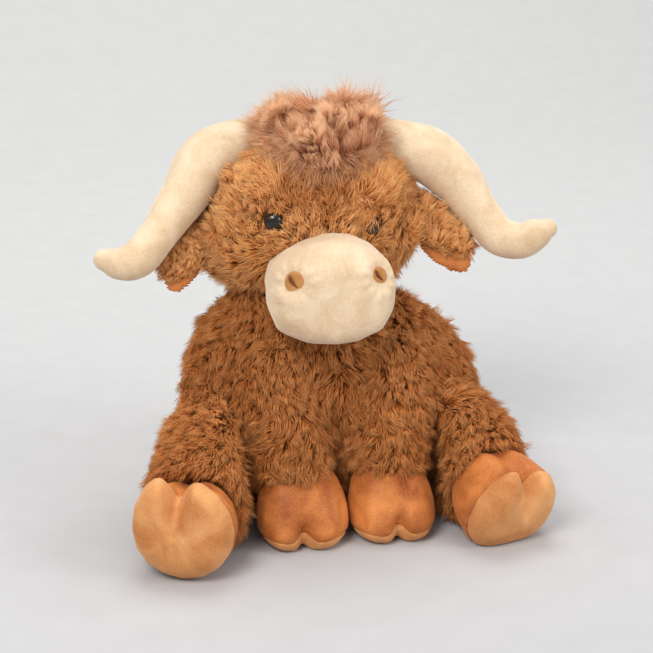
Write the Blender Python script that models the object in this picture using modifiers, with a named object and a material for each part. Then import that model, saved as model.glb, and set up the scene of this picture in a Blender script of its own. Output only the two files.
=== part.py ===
"""Plush cow that sits on its seat, facing -Y. Metres, +Z up, origin at the centre of the seat on the floor.

Each stuffed piece is a form: rings of a coarse cage, smoothed by subdivision. A cover is a form less
its own form drawn in by the cloth and pile, and its stuffing is the form drawn in a little further.
Head, legs and tail turn on seams, and each seam is a ball in a socket, so that they turn with no tear.
"""

import math

import bpy
from mathutils import Matrix, Vector

# Driving sizes, in metres
GAP = 0.0003
COVER = 0.005
OVERRUN = 0.020
FLAT = 0.0005
MERGE = 0.00001
SIDES = {"left": 1, "right": -1}
BALL_SIDES = 12
BALL_RINGS = 7
NECK_SIDES = 22

# Torso
BODY_HEIGHT = 0.140
BODY_HALF_WIDTH = 0.098
BODY_FRONT = 0.057
BODY_BACK = 0.070
BODY_LEAN = 0.0085
BODY_ASIDE = 0.009
BODY_SIDES = 10
PELLET_BAG_HALF_WIDTH = 0.040
PELLET_BAG_HALF_DEPTH = 0.034
PELLET_BAG_HEIGHT = 0.020
PELLET_BAG_BACK = 0.012
STUFFING_LIFT = 0.0010

# Neck and head
NECK_HEIGHT = 0.140
NECK_BACK = 0.004
NECK_RADIUS = 0.046
NECK_MOUTH_RADIUS = 0.024
HEAD_HEIGHT = 0.112
HEAD_HALF_WIDTH = 0.074
HEAD_FRONT = 0.058
HEAD_BACK = 0.056
HEAD_SIDES = 10

# Muzzle, from the neck's centre
MUZZLE_REACH = 0.096
MUZZLE_ROOT = 0.030
MUZZLE_HALF_WIDTH = 0.0422
MUZZLE_HALF_HEIGHT = 0.035
MUZZLE_RISE = 0.020
NOSTRIL_PLACE_SHARE = 0.659
NOSTRIL_RISE = 0.032
NOSTRIL_RADIUS = 0.0062
NOSTRIL_THICKNESS = 0.0012
NOSTRIL_OUTWARD = math.radians(24.0)

# Safety eyes
EYE_RADIUS = 0.0058
EYE_DOME = 0.0042
EYE_RIM_SHARE = 0.33
EYE_HALF_SPACING = 0.0300
EYE_RISES = {"left": 0.050, "right": 0.056}
EYE_OUTWARD = math.radians(24.0)
EYE_FRONT = 0.0515
SHANK_RADIUS = 0.0019
SHANK_LENGTH = 0.012
WASHER_RADIUS = 0.0070
WASHER_THICKNESS = 0.0014

# Horns
HORN_REACH = 0.1432
HORN_RADIUS = 0.0176
HORN_RISE = 0.090
HORN_FORWARD = 0.043

# Ears
EAR_LENGTH = 0.050
EAR_HALF_WIDTH = 0.0175
EAR_THICKNESS = 0.010
EAR_LINING_THICKNESS = 0.0026
EAR_ROOT_OUT = 0.0640
EAR_ROOT_FORWARD = 0.010
EAR_ROOT_RISE = 0.051
EAR_DROOPS = {"left": math.radians(38.0), "right": math.radians(52.0)}
EAR_FORWARD = math.radians(30.0)
EAR_TILT = math.radians(30.0)
EAR_BELOW_HORN = 0.0025

# Forelock
FORELOCK_RADIUS = 0.037
FORELOCK_PAD = 0.007
FORELOCK_FORWARD = 0.024
FORELOCK_ASIDE = 0.006
FORELOCK_LENGTH = 0.034
LOCK_RADIUS = 0.011
LOCK_COUNT = 9
LOCK_SIDES = 4

# Front legs, from the shoulder's centre
SHOULDER_OUT = 0.034
SHOULDER_FORWARD = 0.018
SHOULDER_HEIGHT = 0.104
SHOULDER_RADIUS = 0.026
FRONT_LEG_DROP = 0.064
FRONT_LEG_REACH = 0.042
FRONT_LEG_HALF_WIDTH = 0.029
FRONT_LEG_HALF_DEPTH = 0.031
FRONT_HOOF_HALF_WIDTH = 0.0272
FRONT_HOOF_HALF_DEPTH = 0.030
FRONT_HOOF_HEIGHT = 0.046
FRONT_HOOF_FORWARD = 0.010
FRONT_SOLE_HEIGHT = 0.009
FRONT_LEG_SWING = math.radians(25.0)
LEG_PARTING_OUT = 0.0625
LEG_PARTING_FORWARD = 0.034
LEG_PARTING_GAP = 0.0025
LEG_CORNER_CUT = 0.0055
LEG_CORNER_DROP = 0.012

# Hind legs, from the hip's centre
HIP_OUT = 0.068
HIP_FORWARD = 0.022
HIP_HEIGHT = 0.046
HIP_RADIUS = 0.038
HIP_TWIST = 0.008
HIND_LEG_LENGTH = 0.071
HIND_LEG_HALF_WIDTH = 0.036
HIND_LEG_SPLAYS = {"left": math.radians(18.0), "right": math.radians(25.0)}
HIND_FOOT_DROOPS = {"left": math.radians(22.0), "right": math.radians(3.0)}
HIND_HOOF_LENGTH = 0.034
HIND_HOOF_HALF_WIDTH = 0.0315
HIND_HOOF_HEIGHT = 0.066
HIND_SOLE_DEPTH = 0.013
CLEFT_SHARE = 0.30
HIND_LEG_SPREAD = math.radians(20.0)
SWING_STEPS = 3

# Tail
TAIL_LENGTH = 0.055
TAIL_RADIUS = 0.0085
TAIL_SLOPE = math.radians(55.0)
TAIL_ROOT_HEIGHT = 0.085
TAIL_ROOT_RADIUS = 0.012
TUFT_LENGTH = 0.040
TUFT_RADIUS = 0.014

# Each ring of the torso: height, half width, front and back, as shares of their sizes
BODY_SHARES = (
    (0.00, 0.66, 0.64, 0.72),
    (0.10, 0.93, 0.94, 0.97),
    (0.36, 1.00, 1.00, 1.00),
    (0.64, 0.95, 0.95, 0.90),
    (0.87, 0.75, 0.79, 0.72),
    (1.00, 0.44, 0.48, 0.44),
)
# Each ring of the pellet bag: height and width
PELLET_BAG_SHARES = ((0.0, 0.80), (0.30, 1.0), (0.75, 0.82), (1.0, 0.42))
# Each ring of the head: height, half width, front and back
HEAD_SHARES = (
    (0.00, 0.50, 0.52, 0.50),
    (0.10, 0.86, 0.88, 0.80),
    (0.34, 1.00, 1.00, 0.97),
    (0.62, 0.91, 0.95, 1.00),
    (0.86, 0.74, 0.78, 0.84),
    (0.98, 0.44, 0.46, 0.50),
)
# Each ring of the muzzle: way to its tip, half width, upper and lower half height, and rise
MUZZLE_SHARES = (
    (0.00, 0.86, 0.84, 0.84, 0.00),
    (0.30, 0.98, 0.97, 0.96, 0.00),
    (0.62, 1.00, 0.97, 1.00, -0.01),
    (0.86, 0.88, 0.78, 0.92, -0.04),
    (0.97, 0.58, 0.50, 0.66, -0.08),
)
# Each ring of a horn: way out, way up, way forward and radius
HORN_SHARES = {
    "left": (
        (0.353, 0.948, 0.000, 0.943),
        (0.411, 0.929, 0.000, 0.983),
        (0.543, 0.877, 0.133, 1.000),
        (0.649, 0.728, 0.326, 0.892),
        (0.700, 0.593, 0.472, 0.773),
        (0.749, 0.479, 0.609, 0.682),
        (0.808, 0.364, 0.760, 0.665),
        (0.890, 0.340, 0.900, 0.631),
        (0.955, 0.397, 1.000, 0.540),
        (1.000, 0.427, 1.000, 0.375),
    ),
    "right": (
        (0.246, 0.998, 0.000, 0.966),
        (0.302, 0.989, 0.000, 1.000),
        (0.401, 0.966, 0.084, 0.943),
        (0.467, 0.880, 0.191, 0.926),
        (0.522, 0.756, 0.323, 0.852),
        (0.590, 0.636, 0.472, 0.750),
        (0.663, 0.512, 0.640, 0.659),
        (0.758, 0.378, 0.844, 0.659),
        (0.842, 0.363, 0.977, 0.568),
        (0.913, 0.401, 1.000, 0.398),
    ),
}
# Each ring of an ear: way to its tip, half width and half thickness
EAR_SHARES = (
    (0.00, 0.66, 0.92),
    (0.24, 0.94, 1.00),
    (0.56, 0.94, 0.94),
    (0.82, 0.60, 0.72),
    (0.97, 0.26, 0.44),
)
# Each ring of a lock of hair: way to its tip and radius, and how far out its bend goes
LOCK_SHARES = ((0.0, 1.0), (0.55, 0.72), (0.85, 0.40))
LOCK_BEND_SHARE = 0.25
LOCK_LEAN_SHARE = 1.1
LOCK_SPREAD_SHARE = 0.62
# Each ring of a front leg: way down, way forward, shift outward, half width and half depth
FRONT_LEG_SHARES = (
    (-0.12, 0.04, 0.00, 0.66, 0.66),
    (0.10, 0.10, 0.06, 1.00, 0.98),
    (0.42, 0.40, 0.06, 1.04, 1.02),
    (0.86, 0.84, -0.06, 0.90, 0.84),
    (1.20, 1.14, -0.16, 0.80, 0.78),
)
# Each ring of a front hoof, from the top: height, way forward, half width and half depth
FRONT_HOOF_SHARES = (
    (1.00, -0.66, 0.52, 0.48),
    (0.86, -0.46, 0.80, 0.78),
    (0.46, 0.00, 1.00, 1.00),
    (0.14, 0.10, 0.96, 0.96),
    (0.00, 0.06, 0.76, 0.76),
)
# Each ring of a hind leg: way to the ankle, half width, top height and foot height, of the hip's radius
HIND_LEG_SHARES = (
    (-0.22, 0.66, 0.66, -0.80),
    (0.12, 1.00, 1.04, -1.15),
    (0.46, 0.98, 0.94, -1.17),
    (0.80, 0.86, 0.66, -1.17),
    (1.08, 0.74, 0.44, -1.14),
)
# Each ring of a hind hoof: way to the sole, half width and height
HIND_HOOF_SHARES = (
    (-0.40, 0.62, 0.60),
    (-0.10, 0.86, 0.84),
    (0.46, 1.00, 1.00),
    (0.84, 0.92, 0.94),
    (1.00, 0.64, 0.66),
)
# Each ring of the tail, and of its tuft: way along and radius
TUFT_OVERLAP_SHARE = 0.2
TAIL_SHARES = ((-0.06, 0.9), (0.5, 1.0), (0.94, 0.8))
TUFT_SHARES = ((0.0, 0.60), (0.40, 1.0), (0.90, 0.40))


def fresh_collection(name):
    made = bpy.data.collections.new(name)
    bpy.context.scene.collection.children.link(made)
    return made


def material(name, colour, roughness):
    made = bpy.data.materials.new(name)
    made.use_nodes = True
    shader = made.node_tree.nodes["Principled BSDF"]
    shader.inputs["Base Color"].default_value = (*colour, 1.0)
    shader.inputs["Roughness"].default_value = roughness
    made.diffuse_color = (*colour, 1.0)
    return made


def placed(mesh, name, parent=None, finish=None, smooth=True):
    """A new object in the parts if it has a finish, and otherwise a hidden one among the cutters."""
    made = bpy.data.objects.new(name, mesh)
    (PARTS if finish else CUTTERS).objects.link(made)
    made.parent = parent
    if finish:
        mesh.materials.append(finish)
    else:
        made.hide_render = True
        made.display_type = "WIRE"
    if smooth:
        mesh.shade_smooth()
    return made


def empty(name, matrix, parent=None):
    made = bpy.data.objects.new(name, None)
    PARTS.objects.link(made)
    made.parent = parent
    made.matrix_basis = matrix
    return made


def swell(sides):
    """How much wider than the smoothed ring its cage is."""
    return 3.0 / (2.0 + math.cos(math.tau / sides))


def ring(centre, across, up, half_width, half_up, half_down, sides, cleft=0.0):
    """Points round a centre. A cleft draws in the point that lies straight up."""
    wider = swell(sides)
    points = []
    for k in range(sides):
        turn = math.tau * k / sides
        rise = half_up if math.sin(turn) > 0.0 else half_down
        notch = 1.0 - cleft * max(0.0, math.sin(turn)) ** (2 * sides)
        step = across * (half_width * math.cos(turn)) + up * (rise * math.sin(turn) * notch)
        points.append(centre + step * wider)
    return points


def form(name, rings, parent=None, finish=None, levels=1):
    """A closed cage through the rings, in order, with its end caps drawn to their middles."""
    sides = len(rings[0])
    points = [point for one in rings for point in one]
    faces = []
    for j in range(len(rings) - 1):
        for k in range(sides):
            here, beside = j * sides + k, j * sides + (k + 1) % sides
            faces.append((here, beside, beside + sides, here + sides))
    for one, first, turned in ((rings[0], 0, True), (rings[-1], len(points) - sides, False)):
        points.append(sum(one, Vector()) / sides)
        for k in range(sides):
            pair = (first + k, first + (k + 1) % sides)
            faces.append((*(reversed(pair) if turned else pair), len(points) - 1))
    mesh = bpy.data.meshes.new(name)
    mesh.from_pydata([tuple(point) for point in points], [], faces)
    volume = sum(
        mesh.vertices[f.vertices[0]].co.dot(f.normal) * f.area for f in mesh.polygons
    )
    if volume < 0.0:
        mesh.flip_normals()
    made = placed(mesh, name, parent, finish)
    smoothing = made.modifiers.new("smooth", "SUBSURF")
    smoothing.levels = smoothing.render_levels = levels
    return made


def drawn(source, name, distance, finish=None):
    """The source's smoothed form, pushed out by the distance or, where it is negative, drawn in."""
    made = placed(source.data.copy(), name, source.parent, finish)
    made.matrix_basis = source.matrix_basis.copy()
    if finish:
        made.data.materials.clear()
        made.data.materials.append(finish)
    smoothing = made.modifiers.new("smooth", "SUBSURF")
    smoothing.levels = smoothing.render_levels = source.modifiers["smooth"].levels
    push = made.modifiers.new("push", "DISPLACE")
    push.strength = distance
    push.mid_level = 0.0
    return made


def cut(target, other, operation="DIFFERENCE", solver="EXACT"):
    step = target.modifiers.new(operation.lower(), "BOOLEAN")
    step.operation = operation
    step.solver = solver
    step.object = other
    return target


def ball(name, radius, parent, pole="Z", centre=(0.0, 0.0, 0.0), sides=BALL_SIDES, turn=0.0):
    """A ball whose poles lie on the axis that it turns about, by which it may be turned."""
    bpy.ops.mesh.primitive_uv_sphere_add(segments=sides, ring_count=BALL_RINGS, radius=radius)
    made = bpy.context.object
    mesh = made.data
    bpy.data.objects.remove(made)
    mesh.transform(Matrix.Rotation(turn, 4, "Z"))
    if pole == "X":
        mesh.transform(Matrix.Rotation(math.pi / 2.0, 4, "Y"))
    mesh.transform(Matrix.Translation(centre))
    return placed(mesh, name, parent)


def socket(name, radius, parent, pole="Z", sides=BALL_SIDES):
    """A ball whose flats clear a turning ball of this radius."""
    return ball(name, radius / math.cos(math.pi / sides) + GAP, parent, pole, sides=sides)


def rod(name, radius, length, matrix, parent=None, sides=12):
    """A cylinder that runs from its matrix's origin along its Z."""
    bpy.ops.mesh.primitive_cylinder_add(vertices=sides, radius=radius, depth=length)
    made = bpy.context.object
    mesh = made.data
    bpy.data.objects.remove(made)
    half_step = Matrix.Rotation(math.pi / sides, 4, "Z")
    mesh.transform(matrix @ Matrix.Translation((0.0, 0.0, length / 2.0)) @ half_step)
    return placed(mesh, name, parent)


def slab(name, corner, opposite, parent=None):
    bpy.ops.mesh.primitive_cube_add(size=1.0)
    made = bpy.context.object
    mesh = made.data
    bpy.data.objects.remove(made)
    middle = (corner + opposite) / 2.0
    size = [abs(value) for value in opposite - corner]
    mesh.transform(Matrix.Translation(middle) @ Matrix.Diagonal((*size, 1.0)))
    return placed(mesh, name, parent, smooth=False)


def turned(name, profile, matrix, parent, finish, closed=False, sides=12):
    """A profile of radius and height pairs, outer side downwards, turned about its Z."""
    mesh = bpy.data.meshes.new(name)
    edges = [(k, (k + 1) % len(profile)) for k in range(len(profile) - (not closed))]
    mesh.from_pydata([(radius, 0.0, height) for radius, height in profile], edges, [])
    made = placed(mesh, name, parent, finish, smooth=False)
    made.matrix_basis = matrix
    screw = made.modifiers.new("turn", "SCREW")
    screw.axis = "Z"
    screw.steps = screw.render_steps = sides
    screw.use_merge_vertices = True
    screw.merge_threshold = MERGE
    screw.use_smooth_shade = True
    return made


def upright_rings(shares, height, half_width, front, back, sides, aside=0.0, lean=0.0, base=0.0):
    across, behind = Vector((1.0, 0.0, 0.0)), Vector((0.0, 1.0, 0.0))
    rings = []
    for up, wide, ahead, aft in shares:
        centre = Vector((aside - (aside + lean) * up**4, 0.0, base + height * up))
        rings.append(ring(centre, across, behind, half_width * wide, back * aft, front * ahead, sides))
    return rings


def make_torso():
    """The body's cover, stuffing and pellet bag, with the dome that the head sits on."""
    rings = upright_rings(
        BODY_SHARES,
        BODY_HEIGHT,
        BODY_HALF_WIDTH,
        BODY_FRONT,
        BODY_BACK,
        BODY_SIDES,
        BODY_ASIDE,
        BODY_LEAN,
        -FLAT,
    )
    shape = form("body_form", rings)
    hollow = drawn(shape, "body_hollow", -COVER)
    cut(hollow, ball("neck_hollow", NECK_RADIUS - COVER, NECK, "X", sides=NECK_SIDES), "UNION", "MANIFOLD")
    cover = form("body_cover", rings, finish=FUR)
    cut(cover, ball("neck_dome", NECK_RADIUS, NECK, "X", sides=NECK_SIDES), "UNION", "MANIFOLD")
    cut(cover, hollow, solver="MANIFOLD")
    stuffing = drawn(shape, "body_stuffing", -COVER - GAP, FILLING)
    filling = ball("neck_filling", NECK_RADIUS - COVER - GAP, NECK, "X", sides=NECK_SIDES)
    cut(stuffing, filling, "UNION", "MANIFOLD")
    mouth = rod("neck_mouth", NECK_MOUTH_RADIUS, NECK_RADIUS + OVERRUN, Matrix(), NECK)
    cut(cover, mouth, solver="MANIFOLD")
    bag_floor = COVER - FLAT + GAP
    bag_rings = []
    for up, wide in PELLET_BAG_SHARES:
        bag_rings.append(
            ring(
                Vector((0.0, PELLET_BAG_BACK, bag_floor + PELLET_BAG_HEIGHT * up)),
                Vector((1.0, 0.0, 0.0)),
                Vector((0.0, 1.0, 0.0)),
                PELLET_BAG_HALF_WIDTH * wide,
                PELLET_BAG_HALF_DEPTH * wide,
                PELLET_BAG_HALF_DEPTH * wide,
                6,
            )
        )
    bag = form("pellet_bag", bag_rings, finish=BAG)
    below = slab(
        "bag_floor",
        Vector((-BODY_HALF_WIDTH, -BODY_HALF_WIDTH, -OVERRUN)),
        Vector((BODY_HALF_WIDTH, BODY_HALF_WIDTH, bag_floor)),
    )
    cut(bag, below)
    pocket = drawn(bag, "bag_pocket", GAP)
    cut(stuffing, pocket)
    stuffing_floor = slab(
        "stuffing_floor",
        Vector((-BODY_HALF_WIDTH, -BODY_HALF_WIDTH, -OVERRUN)) * 2.0,
        Vector((BODY_HALF_WIDTH * 2.0, BODY_HALF_WIDTH * 2.0, bag_floor + STUFFING_LIFT)),
    )
    cut(stuffing, stuffing_floor)
    cut(cover, FLOOR, solver="MANIFOLD")
    return shape, cover, stuffing


def make_head():
    """The head's cover and stuffing, on the neck's dome."""
    rings = upright_rings(HEAD_SHARES, HEAD_HEIGHT, HEAD_HALF_WIDTH, HEAD_FRONT, HEAD_BACK, HEAD_SIDES)
    shape = form("head_form", rings, HEAD)
    seat = socket("head_socket", NECK_RADIUS, NECK, "X", NECK_SIDES)
    cover = form("head_cover", rings, HEAD, FUR)
    cut(cover, drawn(shape, "head_hollow", -COVER))
    cut(cover, seat)
    stuffing = drawn(shape, "head_stuffing", -COVER - GAP, FILLING)
    cut(stuffing, seat)
    return shape, seat, cover, stuffing


def make_muzzle(head_form, seat):
    across, up = Vector((1.0, 0.0, 0.0)), Vector((0.0, 0.0, 1.0))
    rings = []
    for out, wide, high, low, rise in MUZZLE_SHARES:
        forward = MUZZLE_ROOT + (MUZZLE_REACH - MUZZLE_ROOT) * out
        centre = Vector((0.0, -forward, MUZZLE_RISE + MUZZLE_HALF_HEIGHT * rise))
        rings.append(
            ring(
                centre,
                across,
                up,
                MUZZLE_HALF_WIDTH * wide,
                MUZZLE_HALF_HEIGHT * high,
                MUZZLE_HALF_HEIGHT * low,
                8,
            )
        )
    shape = form("muzzle_form", rings, HEAD)
    muzzle = form("muzzle", rings, HEAD, CREAM)
    cut(muzzle, drawn(head_form, "head_clear_of_muzzle", GAP))
    cut(muzzle, seat)
    outside = drawn(shape, "nostril_outside", GAP + NOSTRIL_THICKNESS)
    inside = drawn(shape, "nostril_inside", GAP)
    for side, sign in SIDES.items():
        place = (sign * MUZZLE_HALF_WIDTH * NOSTRIL_PLACE_SHARE, -MUZZLE_REACH + NOSTRIL_RADIUS, NOSTRIL_RISE)
        patch = rod(
            f"nostril_{side}_blank",
            NOSTRIL_RADIUS,
            MUZZLE_HALF_WIDTH,
            Matrix.Translation(place) @ NOSTRIL_FACING[side],
            HEAD,
            12,
        )
        patch.name = f"nostril_{side}"
        CUTTERS.objects.unlink(patch)
        PARTS.objects.link(patch)
        patch.hide_render = False
        patch.display_type = "TEXTURED"
        patch.data.materials.append(TAN)
        cut(patch, outside, "INTERSECT")
        cut(patch, inside)
    return muzzle


def make_eyes(cover, stuffing):
    """Each eye sits in the pile, and its shank goes through the cover into a washer behind it."""
    for side, sign in SIDES.items():
        facing = Matrix.Rotation(sign * EYE_OUTWARD, 4, "Z") @ Matrix.Rotation(math.pi / 2.0, 4, "X")
        place = Matrix.Translation((sign * EYE_HALF_SPACING, -EYE_FRONT, EYE_RISES[side])) @ facing
        dome = [(0.0, EYE_DOME)]
        for step in range(1, 4):
            turn = math.pi / 6.0 * step
            dome.append((EYE_RADIUS * math.sin(turn), EYE_DOME * math.cos(turn)))
        rim = EYE_DOME * EYE_RIM_SHARE
        back = [(EYE_RADIUS, -rim), (SHANK_RADIUS, -rim), (SHANK_RADIUS, -SHANK_LENGTH)]
        turned(f"eye_{side}", dome + back + [(0.0, -SHANK_LENGTH)], place, HEAD, GLOSS)
        behind = -rim - COVER
        washer = [
            (SHANK_RADIUS + GAP, behind),
            (WASHER_RADIUS, behind),
            (WASHER_RADIUS, behind - WASHER_THICKNESS),
            (SHANK_RADIUS + GAP, behind - WASHER_THICKNESS),
        ]
        turned(f"eye_washer_{side}", washer, place, HEAD, WASHER, closed=True)
        seat = rod(f"eye_seat_{side}", EYE_RADIUS + GAP, OVERRUN, place @ down(rim + GAP), HEAD)
        hole = rod(f"eye_hole_{side}", SHANK_RADIUS + GAP, OVERRUN, place @ down(OVERRUN), HEAD)
        pocket_floor = -behind + WASHER_THICKNESS + GAP
        pocket = rod(
            f"eye_pocket_{side}",
            WASHER_RADIUS + GAP,
            WASHER_THICKNESS + GAP + GAP,
            place @ down(pocket_floor),
            HEAD,
        )
        for one in (cover, stuffing):
            cut(one, seat)
            cut(one, hole)
            cut(one, pocket)


def down(distance):
    return Matrix.Translation((0.0, 0.0, -distance))


def make_horn(side, sign, head_form):
    """A long horn that goes out, bends down and turns up at its tip."""
    path = [
        Vector((sign * HORN_REACH * out, -HORN_FORWARD * ahead, HORN_RISE * up))
        for out, up, ahead, _ in HORN_SHARES[side]
    ]
    rings = []
    for k, centre in enumerate(path):
        along = (path[min(k + 1, len(path) - 1)] - path[max(k - 1, 0)]).normalized()
        across = Vector((0.0, 1.0, 0.0)).cross(along).normalized()
        radius = HORN_RADIUS * HORN_SHARES[side][k][-1]
        rings.append(ring(centre, across, along.cross(across), radius, radius, radius, 6))
    horn = form(f"horn_{side}", rings, HEAD, CREAM)
    cut(horn, drawn(head_form, f"head_clear_of_horn_{side}", GAP))
    return horn


def make_ear(side, sign, head_form, horn):
    """A leaf with a flat back, which its lining covers. It hangs below the horn and droops."""
    seam = empty(
        f"ear_seam_{side}",
        Matrix.Translation((sign * EAR_ROOT_OUT, -EAR_ROOT_FORWARD, EAR_ROOT_RISE))
        @ Matrix.Rotation(sign * EAR_FORWARD, 4, "Z").inverted()
        @ Matrix.Rotation(sign * EAR_DROOPS[side], 4, "Y")
        @ Matrix.Rotation(-EAR_TILT, 4, "X"),
        HEAD,
    )
    along, across = Vector((sign, 0.0, 0.0)), Vector((0.0, 0.0, 1.0))
    behind = Vector((0.0, 1.0, 0.0))
    half = EAR_THICKNESS / 2.0
    rings = []
    for out, wide, thick in EAR_SHARES:
        centre = along * (EAR_LENGTH * out)
        rings.append(
            ring(
                centre,
                across,
                behind,
                EAR_HALF_WIDTH * wide,
                half * thick,
                half * thick,
                6,
            )
        )
    back = half - EAR_LINING_THICKNESS
    far = Vector((EAR_LENGTH, EAR_LENGTH, EAR_LENGTH)) * 2.0
    ear = form(f"ear_{side}", rings, seam, FUR)
    cut(ear, slab(f"ear_back_{side}", Vector((-far.x, back, -far.z)), far, seam))
    lining = form(f"ear_lining_{side}", rings, seam, SATIN)
    front = slab(f"lining_front_{side}", -far, Vector((far.x, back + GAP, far.z)), seam)
    cut(lining, front)
    clear = drawn(head_form, f"head_clear_of_ear_{side}", GAP)
    cut(ear, clear)
    cut(lining, clear, solver="MANIFOLD")
    above = drawn(horn, f"horn_clear_of_ear_{side}", EAR_BELOW_HORN)
    cut(ear, above, solver="MANIFOLD")
    cut(lining, above, solver="MANIFOLD")
    return seam


def make_forelock(head_form):
    """A pad on the crown with tapered locks that stand out from it in a spiral."""
    crown = Vector((FORELOCK_ASIDE, -FORELOCK_FORWARD, HEAD_HEIGHT))
    pad = ball("forelock_blank", FORELOCK_RADIUS, HEAD, centre=crown)
    pad.name = "forelock"
    CUTTERS.objects.unlink(pad)
    PARTS.objects.link(pad)
    pad.hide_render = False
    pad.display_type = "TEXTURED"
    pad.data.materials.append(LOCKS)
    inside = drawn(head_form, "head_clear_of_forelock", GAP)
    cut(pad, drawn(head_form, "forelock_outside", GAP + FORELOCK_PAD), "INTERSECT", "MANIFOLD")
    points, faces = [], []
    golden = math.pi * (3.0 - math.sqrt(5.0))
    for k in range(LOCK_COUNT):
        spread = math.sqrt((k + 0.5) / LOCK_COUNT)
        turn = k * golden
        outward = Vector((math.cos(turn), math.sin(turn), 0.0))
        root = crown + outward * (FORELOCK_RADIUS * LOCK_SPREAD_SHARE * spread)
        root.z -= FORELOCK_PAD * (1.0 + spread)
        lean = (Vector((0.0, 0.0, 1.0)) + outward * (LOCK_LEAN_SHARE * spread)).normalized()
        length = FORELOCK_LENGTH * (1.0 - LOCK_BEND_SHARE * spread)
        side_way = lean.orthogonal().normalized()
        other_way = lean.cross(side_way)
        first = len(points)
        for way, radius in LOCK_SHARES:
            for s in range(LOCK_SIDES):
                angle = math.tau * s / LOCK_SIDES
                step = side_way * math.cos(angle) + other_way * math.sin(angle)
                bend = outward * (length * LOCK_BEND_SHARE * way * way)
                points.append(root + lean * (length * way) + bend + step * (LOCK_RADIUS * radius))
        points.append(root + lean * length + outward * (length * LOCK_BEND_SHARE))
        tip = len(points) - 1
        for j in range(2):
            for s in range(LOCK_SIDES):
                here = first + j * LOCK_SIDES + s
                beside = first + j * LOCK_SIDES + (s + 1) % LOCK_SIDES
                faces.append((here, beside, beside + LOCK_SIDES, here + LOCK_SIDES))
        last = first + 2 * LOCK_SIDES
        for s in range(LOCK_SIDES):
            faces.append((last + s, last + (s + 1) % LOCK_SIDES, tip))
        faces.append(tuple(first + s for s in reversed(range(LOCK_SIDES))))
    mesh = bpy.data.meshes.new("forelock_locks")
    mesh.from_pydata([tuple(point) for point in points], [], faces)
    locks = placed(mesh, "forelock_locks", HEAD)
    joined = cut(pad, locks, "UNION").modifiers["union"]
    joined.use_self = True
    cut(pad, inside, solver="MANIFOLD")
    return pad


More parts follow.
